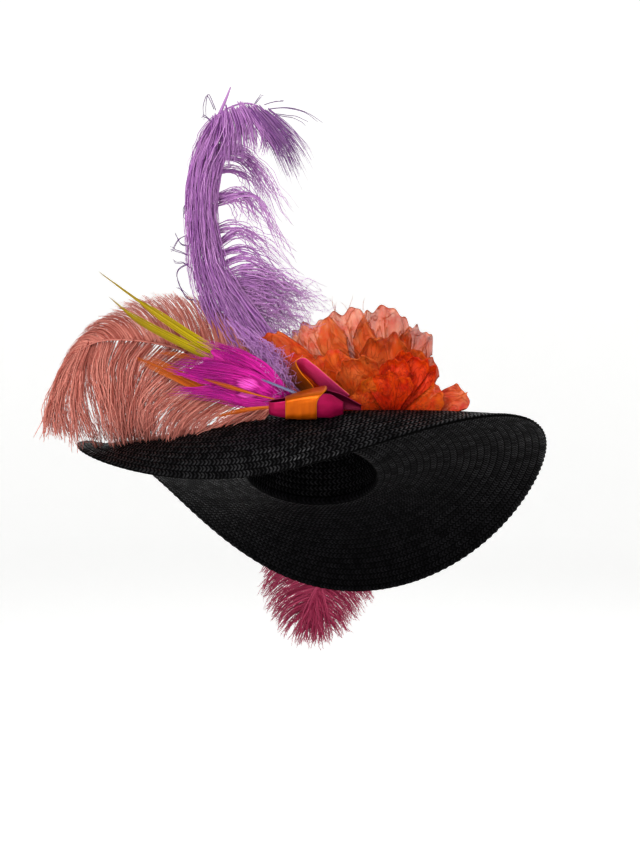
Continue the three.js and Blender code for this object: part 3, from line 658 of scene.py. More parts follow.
# %% The upper loop, orange outside and pink inside
near_edge = np.full(len(UPPER_LOOP), LOOP_NEAR)
edge = smooth_curve(np.column_stack([UPPER_LOOP[:, 0], near_edge, UPPER_LOOP[:, 1]]), share)
across = np.linspace(0, 1, 13)[:, None]
sag = 1.5 * np.sin(np.pi * across[:, 0]) * np.sin(np.pi * share)[:, None]
loop_grid = edge[:, None] + across * LOOP_ACROSS
loop_grid[..., 2] -= sag
# Its inside takes a much brighter copy of the raspberry satin: painted light.
upper_loop = make_wall("bow_upper_loop", loop_grid, RIBBON_HALF, [orange_satin, painted_light_satin],
                       ["bow_loop"], two_faced=True)
declare_cloth([loop_grid])

# %% [markdown]
# ## The organza flower
#
# Organza is a thin, stiff, see-through weave. One layer looks pale and several together look deep
# orange, so each petal's material is partly see-through, and the colour of the flower comes from
# how many petals overlap. The front petals are doubled cloth, and so denser. A petal is a fan that
# grows from a narrow foot. Soft folds run up it, its edge is waved, and some tips roll over.

# %% Organza as a material
def organza(name, deep, pale, hem, cover_foot, cover_tip):
    """Sheer crisp weave. The share that its threads cover goes from one value at the foot to
    another at the tip. The melted edge is a darker line. On a petal of about 48 by 90 mm, veins
    lie 3 mm apart and run up from the foot, and crush creases, the lines where a noise passes its
    middle value, are about 10 mm apart across and 25 mm along. Clouds are 14 mm wide."""
    finish, shader = new_finish(name, {"Roughness": 0.55, "Specular IOR Level": 0.2})
    place = add(finish, "UVMap", uv_map="UVMap")
    split = add(finish, "SeparateXYZ", {"Vector": place})
    spot = add(finish, "TexCoord")
    cloud = add(finish, "TexNoise", {"Vector": spot.outputs["Object"], "Scale": 70.0, "Detail": 4.0,
                                     "Distortion": 0.8}).outputs["Fac"]
    stretched = add(finish, "Mapping", {"Vector": place, "Scale": (16.0, 2.6, 1.0)})
    vein = add(finish, "TexNoise", {"Vector": stretched, "Scale": 1.0, "Detail": 3.0,
                                    "Distortion": 1.2}).outputs["Fac"]
    ridge = add(finish, "MapRange", {"Value": vein, "From Min": 0.52, "From Max": 0.7,
                                     "To Max": 0.4})
    pressed = add(finish, "Mapping", {"Vector": place, "Scale": (5.0, 3.6, 1.0)})
    crush = add(finish, "TexNoise", {"Vector": pressed, "Scale": 1.0, "Detail": 2.5,
                                     "Distortion": 1.6}).outputs["Fac"]
    level = add(finish, "Math", {0: crush, 1: 0.5}, operation="SUBTRACT")
    beside = add(finish, "Math", {0: level}, operation="ABSOLUTE")
    crease = add(finish, "MapRange", {"Value": beside, "From Max": 0.05, "To Min": 0.8,
                                      "To Max": 0.0})
    drawn = add(finish, "Math", {0: ridge, 1: crease}, operation="MAXIMUM")
    from_middle = add(finish, "Math", {0: split.outputs["X"], 1: 0.5}, operation="SUBTRACT")
    sideways = add(finish, "Math", {0: from_middle}, operation="ABSOLUTE")
    side_hem, end_hem = (
        add(finish, "MapRange", {"Value": value, "From Min": start, "From Max": start + 0.01,
                                 "To Max": 0.7})
        for value, start in ((sideways, 0.486), (split.outputs["Y"], 0.984))
    )
    hem_line = add(finish, "Math", {0: side_hem, 1: end_hem}, operation="MAXIMUM")
    patch = add(finish, "MapRange", {"Value": cloud, "From Min": 0.35, "From Max": 0.7})
    body = add(finish, "Mix", {0: split.outputs["Y"], 6: colour(deep), 7: colour(pale)},
               data_type="RGBA")
    clouded = add(finish, "Mix", {0: patch, 6: colour(deep), 7: body}, data_type="RGBA")
    veined = add(finish, "Mix", {0: drawn, 6: clouded, 7: colour(hem)}, data_type="RGBA")
    hemmed = add(finish, "Mix", {0: hem_line, 6: veined, 7: colour(hem)}, data_type="RGBA")
    cover = add(finish, "MapRange", {"Value": split.outputs["Y"], "From Min": 0.25,
                                     "To Min": cover_foot, "To Max": cover_tip})
    veiled = add(finish, "Math", {0: drawn, 1: 0.35, 2: cover}, operation="MULTIPLY_ADD")
    cloudy = add(finish, "Math", {0: cloud, 1: -0.4, 2: veiled}, operation="MULTIPLY_ADD")
    eased = add(finish, "Math", {0: cloudy, 1: 0.2}, operation="ADD")
    sure = add(finish, "Math", {0: hem_line, 1: 0.3, 2: eased}, operation="MULTIPLY_ADD",
               use_clamp=True)
    relief = add(finish, "Math", {0: crease, 1: 0.35, 2: cloud}, operation="MULTIPLY_ADD")
    bump = add(finish, "Bump", {"Strength": 0.8, "Distance": 0.0025, "Height": relief})
    put(finish, hemmed, shader.inputs["Base Color"])
    put(finish, sure, shader.inputs["Alpha"])
    put(finish, bump, shader.inputs["Normal"])
    return finish


sheer = organza("rust_orange_organza", "#d84402", "#ec7c34", "#9c380e", 0.95, 0.54)
doubled = organza("doubled_orange_organza", "#ca2800", "#f27218", "#9c3004", 0.97, 0.74)
dense = organza("red_orange_organza", "#c62000", "#ff5606", "#a01600", 0.98, 0.88)

# %% One petal's surface
PETAL_COLUMNS, PETAL_ROWS = 41, 37
NARROW_FOOT = 0.26  # the foot's share of the full width
ROLLED = 0.22  # the share of the length that rolls over
CRUMPLE = 0.8
ORGANZA_HALF = 0.12  # half its thickness


def petal_surface(base, tip, width, arch, cup, wave, ruffles, face, roll, seed, fold=3.2):
    """Across runs from -1 to 1 and v from foot to tip. Half the width grows with the sine of v. The
    length shrinks at the corners with the fourth power of across, and is notched by three sines.
    The rise is an arch along v, a cup with the square of across, a wave growing with the square of
    v, five soft folds, which are sines of a mix of across and v, and four finer crumples. The last
    fifth is rolled on an arc: roll is how far it turns, in radians."""
    chance = np.random.default_rng(seed)
    across = np.linspace(-1, 1, PETAL_COLUMNS)[None]
    v = np.linspace(0, 1, PETAL_ROWS)[:, None]
    base, reach = np.array(base, float), np.array(tip, float) - np.array(base, float)
    front = unit(np.array(face, float))
    side = unit(np.cross(front, reach))
    ripple = np.sin(np.pi * ruffles * across + reach[0])
    half = width / 2 * (NARROW_FOOT + (1 - NARROW_FOOT) * np.sin(np.pi / 2 * v))
    notch = sum(np.sin(beat * np.pi * across + chance.uniform(0, 6.3)) for beat in (1.2, 2.6, 4.5))
    along = v * (1 - 0.2 * v * across**4 - 0.014 * v**2 * (3 + notch))
    rise = arch * np.sin(np.pi * v) + cup * across**2 * v + wave * v**2 * ripple
    for _ in range(5):
        lean, beat, start = chance.uniform(-4, 4), chance.uniform(2, 7), chance.uniform(0, 6.3)
        rise = rise + fold * 0.45 * v * np.sin(beat * across + lean * v + start)
    for _ in range(4):
        heading, beat = chance.uniform(0, np.pi), chance.uniform(9, 16)
        line = across * np.cos(heading) * width / 60 + v * np.sin(heading)
        rise = rise + CRUMPLE * v * np.sin(beat * line + chance.uniform(0, 6.3))
    t = np.clip((v + 0.03 * ripple - (1 - ROLLED)) / ROLLED, 0, 1)
    along = along + (np.sin(roll * t) / roll - t) * ROLLED
    rise = rise + ROLLED * np.linalg.norm(reach) * (1 - np.cos(roll * t)) / roll
    swing = 0.09 * v * np.sin(3.5 * v + chance.uniform(0, 6.3))
    sideways = (across + swing + 0.03 * v * np.sin(5 * across)) * half
    return (base + along[..., None] * reach + sideways[..., None] * side
            + rise[..., None] * front)


# %% The twelve loose petals
# Each row: name, foot, tip, width, arch, cup, wave, ruffles, the way it faces, roll and finish.
PETALS = [
    ("low_left", [78, -132, 80], [54, -160, 118], 46, 6, 5, 2, 1.5, [-0.2, -1, 0.5], 1.2, doubled),
    ("low_right", [100, -130, 80], [146, -160, 108], 46, 7, 4, 2, 1.5, [0.2, -1, 0.5], 0.8,
     doubled),
    ("centre", [76, -122, 72], [42, -156, 156], 52, 6, 9, 3, 1.5, [-0.1, -1, 0.3], 2.4, sheer),
    ("inner_left", [52, -122, 68], [8, -136, 164], 50, 8, 7, 3, 1.5, [-0.2, -1, 0.2], -1.6,
     doubled),
    ("side", [108, -116, 68], [178, -150, 102], 46, 12, 4, 3, 2, [0.2, -1, 1], 0.7, doubled),
    ("right", [100, -104, 62], [128, -106, 156], 54, 6, 6, 3, 2, [0.2, -1, 0.1], 0.9, doubled),
    ("middle", [78, -106, 62], [90, -114, 184], 62, 6, 8, 4, 2, [0, -1, 0.1], 1.8, sheer),
    ("left", [52, -106, 60], [-58, -128, 172], 54, 8, 8, 3, 1.5, [-0.15, -1, 0.2], 0.4, doubled),
    ("upper_right", [94, -90, 54], [124, -92, 192], 44, 6, 8, 5, 2, [0.1, -1, 0.1], 1.4, sheer),
    ("upper_left", [52, -94, 52], [-10, -106, 196], 70, 8, 7, 4, 2, [-0.1, -1, 0.1], -0.9, sheer),
    ("top", [82, -80, 48], [86, -72, 210], 70, 6, 8, 4, 2, [0, -1, 0.1], 0.8, sheer),
    ("top_left", [60, -82, 48], [36, -84, 210], 72, 6, 8, 4, 2, [0, -1, 0.1], -0.8, sheer),
]
for number, (name, *shape, finish) in enumerate(PETALS):
    node = "petal_" + name
    petal_grid = petal_surface(*shape, seed=40 + number)
    petal = make_wall("organza_" + node, petal_grid, ORGANZA_HALF, [finish], [node])
    declare_cloth([petal_grid])

# %% [markdown]
# The bloom in the middle is five small red-orange petals. Their grids are joined into one piece,
# as they are sewn together at their feet.

# %% The bloom
# Each row: foot, tip, width, arch, cup, wave, ruffles, the way it faces and roll.
BLOOM = [
    ([92, -134, 84], [114, -152, 156], 44, 5, 9, 2, 1, [0.1, -1, 0.3], 1.6),
    ([92, -134, 84], [132, -150, 146], 38, 6, 7, 2, 1, [0.2, -1, 0.4], 1.8),
    ([92, -134, 84], [98, -162, 128], 38, 5, 6, 2, 1, [0, -0.8, 0.7], 1.2),
    ([88, -136, 84], [76, -158, 132], 38, 6, 7, 2, 2, [-0.1, -0.9, 0.4], 2.0),
    ([90, -136, 86], [92, -156, 150], 36, 5, 8, 2, 2, [0, -1, 0.3], 1.8),
]
bloom_parts = [petal_surface(*shape, seed=70 + k, fold=1.6) for k, shape in enumerate(BLOOM)]
rows, columns = bloom_parts[0].shape[:2]
faces, places = wall_faces(rows, columns, False)
shells = np.concatenate([wall_points(part, ORGANZA_HALF) for part in bloom_parts])
step = 2 * rows * columns
bloom_faces = [block + k * step for k in range(len(BLOOM)) for block in faces]
bloom_uv = [block / [columns - 1, rows - 1] for _ in BLOOM for block in places]
bloom = make_piece("organza_bloom", shells, bloom_faces, [dense], ["flower_bloom"],
                   uv=bloom_uv)
declare_cloth(bloom_parts)

# %% [markdown]
# ## Feathers
#
# A feather is a quill with barbs on both sides, and an ostrich barb has long loose barbules
# instead of hooked ones, which makes it fluffy. Each barb here is a thin three-sided tube along a
# curve, and each barbule a needle of four triangles. There are two ways to lay barbs out. A vane
# leaves the quill in order, between a few main barbs given in a table. A lock is a bundle of barbs
# that cling together and hang, beside a route that is given by where it shows from the front.

# %% Waves, vanes and locks
def waved(paths, chance, frizz, beats):
    """Adds a sideways and a depth wave to each curve. It grows with the share along it to the power
    1.2, so that roots stay put and tips are frizzy."""
    count, steps = paths.shape[:2]
    s = np.linspace(0, 1, steps)[None, :, None]
    side = unit(np.cross(unit(np.gradient(paths, axis=1)), DEPTH))
    beat = beats * chance.uniform(0.5, 1.6, (count, 1, 1))
    phase = chance.uniform(0, 6.3, (count, 1, 1))
    strength = frizz * chance.uniform(0.3, 1.5, (count, 1, 1)) * s**1.2
    paths = paths + strength * (np.sin(2 * np.pi * beat * s + phase) - np.sin(phase)) * side
    return paths + strength * 0.8 * (np.cos(1.6 * np.pi * beat * s + phase) - np.cos(phase)) * DEPTH


def between_rows(table, place):
    """The rows of a table mixed at fractional places, each column on its own."""
    steps = np.arange(len(table))
    return np.stack([np.interp(place, steps, column) for column in np.transpose(table)], -1)


def arc(start, swing, tip, s):
    """The bend (1-s)^2 start + 2 s (1-s) swing + s^2 tip."""
    return (1 - s) ** 2 * start + 2 * s * (1 - s) * swing + s**2 * tip


VANE_BEATS = 1.5  # waves along a barb of a vane


def vane_curves(shaft, table, count, chance, depth, frizz, scatter, reach, locks=0, gather=0.0):
    """Barbs between the main ones of a table (share of the quill; swing point; tip). Each is an
    arc, drawn towards the middle of its lock with s^1.5, waved, and set nearer or further by a
    random depth."""
    steps = 12
    share = np.clip((np.arange(count) + chance.uniform(-0.5, 0.5, count)) / (count - 1), 0, 1)
    length = chance.uniform(*reach, count)

    def bend(shares, stray):
        row = between_rows(table, shares * (len(table) - 1))
        s = np.linspace(0, 1, steps)[None, :, None] * length[:, None, None]
        return arc(smooth_curve(shaft, row[:, 0])[:, None], (row[:, 1:4] + stray[0])[:, None],
                   (row[:, 4:7] + stray[1])[:, None], s)

    strays = chance.normal(0, scatter, (2, count, 3)) * [1, 0.6, 1]
    paths = bend(share, strays)
    s = np.linspace(0, 1, steps)[None, :, None]
    if locks:
        middle = (np.floor(share * locks * 0.9999) + 0.5) / locks
        paths = paths + (bend(middle, strays * 0.3) - paths) * gather * s**1.5
    paths = waved(paths, chance, frizz, VANE_BEATS)
    return paths + DEPTH * depth * chance.uniform(-1, 1, (count, 1, 1)) * s**0.5


def lock_curves(routes, each, chance, spread, frizz, beats=2.0, reach=(0.72, 1.0), flat=0.7,
                late=0.1, steps=12):
    """Barbs beside each lock's route, from a random start (up to the share late) to a random end.
    A barb keeps its own direction off the route, and its distance grows along it from spread's
    first value to its second. flat makes the lock thinner from front to back."""
    bundles = []
    for route in routes:
        first = chance.uniform(0, late, (each, 1))
        s = first + (chance.uniform(*reach, (each, 1)) - first) * np.linspace(0, 1, steps)
        off = chance.normal(0, 1, (each, 1, 3)) * [1, flat, 1]
        wide = spread[0] + (spread[1] - spread[0]) * s**1.3
        bundles.append(smooth_curve(route, s) + off * wide[..., None])
    return waved(np.concatenate(bundles), chance, frizz, beats)


# %% Strands and needles along those curves
BARE_ROOT = 0.03  # the share of a barb that has no barbules


def strands(paths, radius, taper, sides=3):
    """Closed tubes along curves: round each point, sides corners at a radius that shrinks towards
    the tip with the share along it to the power 1.5."""
    count, steps = paths.shape[:2]
    s = np.linspace(0, 1, steps)
    along = unit(np.gradient(paths, axis=1))
    side = unit(np.cross(along, DEPTH))
    up = np.cross(along, side)
    size = radius * (1 - (1 - taper) * s**1.5)[None, :, None]
    turns = np.arange(sides) * 2 * np.pi / sides
    corners = np.stack([paths + size * (np.cos(t) * side + np.sin(t) * up) for t in turns], axis=2)
    n, m, k = np.meshgrid(np.arange(count), np.arange(steps - 1), np.arange(sides), indexing="ij")
    at = (n * steps + m) * sides
    beside = (k + 1) % sides
    quads = np.stack([at + k, at + beside, at + sides + beside, at + sides + k], -1).reshape(-1, 4)
    first = (np.arange(count) * steps * sides)[:, None]
    last = first + (steps - 1) * sides
    ends = np.concatenate([first + np.arange(sides)[::-1], last + np.arange(sides)])
    return corners.reshape(-1, 3), [quads, ends], np.tile(np.repeat(s, sides), count)


def needles(paths, count, length, lean, width, chance):
    """Barbules: along each curve, needles that stand off to both sides at the angle lean from it,
    shorter towards the curve's tip. Each is a closed sliver with four corners and four faces."""
    number, steps = paths.shape[:2]
    spots = np.arange(count) + chance.uniform(0, 1, (number, count))
    s = BARE_ROOT + (1 - BARE_ROOT) * spots / count
    place = s * (steps - 1)
    low = np.minimum(place.astype(int), steps - 2)
    part = (place - low)[..., None]
    row = np.arange(number)[:, None]
    root = paths[row, low] * (1 - part) + paths[row, low + 1] * part
    along = unit(paths[row, low + 1] - paths[row, low])
    side = unit(np.cross(along, DEPTH))
    up = np.cross(along, side)
    turn = np.pi * chance.integers(0, 2, s.shape) + chance.normal(0, 0.75, s.shape)
    off = lean * chance.uniform(0.5, 1.35, s.shape)
    turn, off = turn[..., None], off[..., None]
    aim = np.cos(off) * along + np.sin(off) * (np.cos(turn) * side + np.sin(turn) * up)
    long = (length * chance.uniform(0.5, 1.15, s.shape) * (1 - 0.45 * s**3))[..., None]
    corners = np.stack([root - width * along, root + width * along,
                        root + 1.2 * width * np.cross(aim, along), root + long * aim], axis=2)
    sliver = np.array([[0, 2, 1], [0, 1, 3], [1, 2, 3], [0, 3, 2]]).ravel()
    faces = (4 * np.arange(number * count)[:, None] + sliver).reshape(-1, 3)
    return corners.reshape(-1, 3), [faces], np.repeat(s.ravel(), 4)


def make_feather(name, parts, finish, nodes):
    """Joins parts into one piece. A part is corners, faces, share along, tone and darkness."""
    corners, faces, marks, offset = [], [], {"along": [], "tone": [], "dark": []}, 0
    for points, blocks, along, tone, dark in parts:
        corners.append(points)
        faces += [block + offset for block in blocks]
        offset += len(points)
        marks["along"].append(along)
        marks["tone"].append(np.broadcast_to(tone, len(points)))
        marks["dark"].append(np.broadcast_to(dark, len(points)))
    joined = {mark: np.concatenate(values) for mark, values in marks.items()}
    make_piece(name, np.concatenate(corners), faces, [finish], nodes, marks=joined)


def fluffy(paths, radius, per_barb, length, lean, chance, dark=0.0, width=0.26, light=0.0,
           taper=0.25):
    """Barbs and their barbules as two parts, with one tone for each barb."""
    tone = np.clip(chance.uniform(0, 1, len(paths)) + light, 0, 1)
    tube, blocks, along = strands(paths, radius, taper)
    points, slivers, spots = needles(paths, per_barb, length, lean, width, chance)
    paler = np.clip(np.repeat(tone, len(points) // len(paths)) + 0.15, 0, 1)
    return [(tube, blocks, along, np.repeat(tone, len(tube) // len(paths)), dark),
            (points, slivers, spots, paler, dark)]


def quill(points, radius, tone, dark, steps=70):
    """The quill: a six-sided tube along the smooth curve through its points."""
    path = smooth_curve(points, np.linspace(0, 1, steps))[None]
    tube, blocks, along = strands(path, radius, 0.35, 6)
    return [(tube, blocks, along, tone, dark)]


# %% Dyed feather as a material
MARKS = ("tone", "along", "dark")


def dyed_feather(name, deep, pale, tip, dark, rough=0.6):
    """Keratin takes dye unevenly: each barb has its own tone, the ends fade, and where the vane is
    thick it is darker. Its fine fibres scatter light, so it is rough and hardly glints."""
    finish, shader = new_finish(name, {"Roughness": rough, "Specular IOR Level": 0.2})
    tone, along, thick = (add(finish, "Attribute", attribute_name=mark).outputs["Fac"]
                          for mark in MARKS)
    spot = add(finish, "TexCoord")
    cloud = add(finish, "TexNoise", {"Vector": spot.outputs["Object"], "Scale": 35.0,
                                     "Detail": 2.0})
    uneven = add(finish, "Math", {0: cloud.outputs["Fac"], 1: 0.5, 2: tone},
                 operation="MULTIPLY_ADD")
    share = add(finish, "Math", {0: uneven, 1: 0.25}, operation="SUBTRACT", use_clamp=True)
    ends = add(finish, "MapRange", {"Value": along, "From Min": 0.55, "To Max": 0.7})
    tint = add(finish, "Mix", {0: share, 6: colour(deep), 7: colour(pale)}, data_type="RGBA")
    tint = add(finish, "Mix", {0: ends, 6: tint, 7: colour(tip)}, data_type="RGBA")
    tint = add(finish, "Mix", {0: thick, 6: tint, 7: colour(dark)}, data_type="RGBA")
    put(finish, tint, shader.inputs["Base Color"])
    return finish


lavender_dye = dyed_feather("lavender_dyed_ostrich", "#8e4a9c", "#cf96d2", "#b886bd", "#4e2263")
salmon_dye = dyed_feather("salmon_dyed_ostrich", "#a0463a", "#e29484", "#d48478", "#7e3024")
raspberry_dye = dyed_feather("raspberry_dyed_ostrich", "#a0204a", "#cf5074", "#b83a60", "#7a1436")

# %% [markdown]
# ## The lavender plume
#
# It stands up from the bow, bends to the back and curls over at its top. On its left the barbs hang
# straight down in a thick curtain of strings. On its right a few long locks sweep out, droop and
# leave holes, and at the curl a dark purple tuft hangs forward. At the foot everything tangles. A
# bare bit of quill sticks up where it turns.

# %% The curtain of strings
LAVENDER_QUILL = np.array([
    [-13, -140, 108], [-56, -124, 153], [-97, -110, 212], [-120, -102, 268], [-130, -98, 331],
    [-123, -100, 387], [-102, -106, 424], [-70, -114, 433], [-42, -122, 413], [-18, -130, 376.0],
])
# Rows of the frame: where the strings may start, over how many rows they do, where the curtain
# ends, and where it tucks in to the front.
CURTAIN_ROWS = (106, 235, 396, 330)
# Its borders as they show from the front: row of the frame, left column, right column.
CURTAIN = np.array([
    [106, 216, 250], [118, 208, 244], [140, 198, 236], [165, 190, 222], [190, 187, 217],
    [215, 186, 216], [240, 187, 220], [265, 189, 226], [290, 194, 240], [315, 203, 258],
    [340, 215, 276], [365, 233, 283], [398, 262, 292.0],
])


def curtain_strings(count, chance):
    """Each string leaves the quill, reaches its own lane between the two borders within the first
    third of its length, and hangs down along it. The lanes bulge to the front in their middle."""
    top, spread, foot, tuck = CURTAIN_ROWS
    first = top + spread * chance.uniform(0, 1, (count, 1)) ** 1.3
    long = np.minimum(chance.uniform(55, 135, (count, 1)), foot - first)
    s = np.linspace(0, 1, 13)[None]
    row = first + long * s
    stray = chance.uniform(0, 1, (count, 1)) + chance.normal(0, 0.1, (count, 1)) * s
    lane = np.clip(stray, -0.05, 1.05)
    left, right = (np.interp(row, CURTAIN[:, 0], CURTAIN[:, k]) for k in (1, 2))
    bulge = 24 * np.sqrt(np.clip(1 - (2 * lane - 1) ** 2, 0.05, 1))
    forward = 20 * np.clip((row - tuck) / 60, 0, 1)
    depth = -114 - bulge * chance.uniform(-0.5, 1, (count, 1)) - forward
    hung = seen(np.stack([left + (right - left) * lane, row], -1), depth)
    shares = np.linspace(0, 0.66, 60)
    rising = smooth_curve(LAVENDER_QUILL, shares)
    root = smooth_curve(LAVENDER_QUILL, np.interp(hung[:, 0, 2] + 4, rising[:, 2], shares))
    w = np.clip(s / 0.3, 0, 1)[..., None]
    w = w * w * (3 - 2 * w)
    return waved(root[:, None] * (1 - w) + hung * w, chance, 1.5, 2.6)


# %% Its locks, by where they show from the front
# Each row is a lock: four places in the frame, as column and row, from its root to its tip.
TUFT = [
    [246, 106, 262, 128, 276, 150, 289, 180], [252, 106, 270, 128, 284, 150, 299, 184],
    [258, 108, 277, 128, 290, 148, 304, 178], [264, 112, 284, 130, 298, 148, 309, 168],
    [250, 107, 266, 128, 280, 150, 294, 182], [256, 108, 274, 130, 286, 150, 298, 172],
]
OVER = [
    [250, 106, 262, 126, 266, 142, 262, 156], [240, 106, 250, 124, 254, 140, 256, 154],
    [232, 107, 238, 124, 240, 142, 240, 160], [224, 111, 226, 130, 228, 148, 226, 168],
    [216, 117, 214, 138, 212, 156, 210, 178], [228, 109, 232, 126, 234, 146, 232, 164],
    [245, 106, 256, 122, 270, 138, 282, 160], [236, 107, 244, 124, 247, 140, 248, 152],
]
SWEPT = [
    [216, 149, 240, 149, 262, 170, 293, 221], [212, 160, 237, 159, 258, 178, 277, 222],
    [208, 174, 237, 171, 252, 184, 262, 226], [210, 196, 232, 197, 244, 208, 246, 228],
    [212, 200, 240, 193, 256, 212, 271, 229], [210, 232, 233, 226, 256, 240, 290, 276],
    [214, 248, 240, 231, 260, 241, 294, 266], [212, 258, 238, 249, 264, 260, 312, 308],
    [220, 276, 250, 268, 278, 276, 336, 308], [214, 204, 252, 196, 274, 232, 294, 266],
    [218, 268, 244, 258, 270, 272, 300, 316], [220, 152, 246, 158, 266, 186, 286, 214],
]
MASS = [
    [226, 288, 250, 289, 270, 302, 288, 324], [228, 298, 256, 299, 278, 313, 301, 336],
    [234, 308, 260, 311, 282, 326, 303, 347], [240, 318, 262, 326, 282, 338, 297, 352],
    [246, 326, 262, 336, 274, 348, 281, 360], [224, 300, 246, 312, 262, 330, 272, 352],
    [220, 292, 240, 296, 258, 308, 280, 342], [228, 286, 258, 284, 282, 298, 308, 316],
    [222, 280, 246, 280, 262, 292, 276, 312], [236, 276, 266, 282, 292, 296, 320, 316],
    [234, 288, 262, 298, 288, 314, 312, 336], [240, 274, 270, 280, 298, 294, 330, 304],
]
TANGLE = [
    [230, 324, 252, 346, 270, 370, 288, 400], [238, 330, 260, 350, 278, 372, 294, 394],
    [226, 320, 240, 338, 250, 350, 262, 362], [246, 334, 264, 352, 282, 370, 296, 384],
    [252, 340, 268, 362, 278, 386, 276, 408], [240, 326, 262, 346, 278, 360, 290, 372],
]
WISPS = [
    [217, 114, 208, 95, 205, 108, 206, 122], [254, 105, 258, 99, 260, 96, 263, 92],
    [262, 106, 272, 103, 280, 102, 286, 102], [266, 110, 286, 109, 304, 114, 322, 127],
    [270, 114, 284, 116, 298, 119, 307, 125], [212, 122, 206, 117, 203, 116, 202, 117],
    [190, 234, 180, 238, 174, 246, 172, 252], [190, 256, 180, 252, 174, 250, 170, 248],
    [190, 262, 178, 270, 180, 284, 190, 296], [192, 200, 184, 206, 183, 214, 187, 224],
    [192, 246, 182, 244, 178, 238, 176, 232], [191, 268, 182, 262, 176, 262, 171, 258],
    [196, 300, 188, 298, 184, 290, 179, 286],
]


def as_routes(table, near, far):
    """The locks' routes in millimetres: the depth goes evenly from near at the root to far."""
    return [seen(np.reshape(row, (4, 2)), np.linspace(near, far, 4)) for row in table]


chance = np.random.default_rng(11)
curtain = curtain_strings(780, chance)
tuft = lock_curves(as_routes(TUFT, -116, -140), 26, chance, spread=(2.5, 5.0), frizz=0.8,
                   beats=1.2, reach=(0.65, 1.0))
over = lock_curves(as_routes(OVER, -116, -138), 22, chance, spread=(2.5, 4.0), frizz=0.9, beats=1.5)
wisps = lock_curves(as_routes(WISPS, -112, -116), 2, chance, spread=(0.4, 1.4), frizz=0.6,
                    reach=(0.9, 1.0))
spike = [[-106, -104, 420], [-98, -104, 438], [-92, -104, 453]]
parts = quill(LAVENDER_QUILL, 1.7, 0.7, 0.3) + quill(spike, 2.0, 0.8, 0.25, steps=8)
parts += fluffy(curtain, 0.66, 22, 3.0, 0.5, chance)
parts += fluffy(tuft, 0.55, 20, 2.6, 0.4, chance, dark=0.6)
parts += fluffy(over, 0.85, 16, 2.6, 0.4, chance, dark=0.15)
parts += fluffy(wisps, 0.6, 10, 1.4, 0.5, chance, dark=0.9, taper=0.5)
make_feather("lavender_ostrich_plume", parts, lavender_dye, ["lavender_plume"])

# %% Its loose locks, in a piece of their own to keep both light
swept = lock_curves(as_routes(SWEPT, -102, -90), 18, chance, spread=(1.8, 6.5), frizz=3.0,
                    beats=2.6)
mass = lock_curves(as_routes(MASS, -104, -94), 20, chance, spread=(4.0, 9.5), frizz=6.0, beats=4.2)
tangle = lock_curves(as_routes(TANGLE, -142, -182), 12, chance, spread=(3.5, 8.0), frizz=7.0,
                     beats=3.8)
parts = fluffy(swept, 0.72, 26, 3.2, 0.6, chance, light=0.1)
parts += fluffy(mass, 0.6, 46, 6.0, 0.9, chance, light=0.2, width=0.34)
parts += fluffy(tangle, 0.55, 44, 4.0, 0.9, chance, light=0.1)
make_feather("lavender_loose_locks", parts, lavender_dye, [])

# %% [markdown]
# ## The salmon plume
#
# This one lies over the brim like a fan. The upper vane is combed into an even arch. The lower vane
# hangs in frizzy locks whose tips reach over the brim.

# %% Upper vane of the salmon plume
SALMON_QUILL = np.array([
    [-22, -165, 102], [-75, -150, 128], [-124, -135, 147], [-167, -118, 160], [-216, -98, 166],
    [-253, -82, 162], [-283, -70, 142], [-300, -64, 109.0],
])
# Each row: share of the quill, swing point, tip.
SALMON_UPPER = [
    [0.06, -62, -144, 144, -78, -128, 178], [0.12, -85, -132, 161, -108, -116, 200],
    [0.2, -101, -124, 183, -131, -104, 217], [0.32, -140, -112, 198, -171, -90, 220],
    [0.43, -185, -98, 204, -217, -74, 210], [0.57, -235, -82, 198, -267, -58, 178],
    [0.71, -273, -70, 176, -294, -50, 137], [0.86, -301, -62, 135, -310, -46, 86],
    [1, -310, -58, 95, -317, -48, 58],
]
chance = np.random.default_rng(23)
parts = quill(SALMON_QUILL - DEPTH * 4, 1.3, 0.6, 0.3)
upper = vane_curves(SALMON_QUILL, SALMON_UPPER, 720, chance, depth=3, frizz=0.7, scatter=1.8,
                    reach=(0.9, 1.0))
parts += fluffy(upper, 0.7, 44, 3.8, 0.5, chance, dark=0.1, width=0.3)
make_feather("salmon_ostrich_plume", parts, salmon_dye, ["salmon_plume"])

# %% Lower locks of the salmon plume
# Depths by column: on the quill, in the middle of a lock, and at its tip.
SALMON_DEPTH = np.array([
    [44, -64, -82, -66], [59, -72, -90, -70], [83, -92, -104, -76], [103, -108, -116, -84],
    [120, -116, -126, -94], [145, -127, -140, -114], [165, -135, -150, -134],
    [195, -144, -157, -162], [230, -152, -164, -184], [262, -162, -174, -190],
    [290, -174, -186, -192],
])
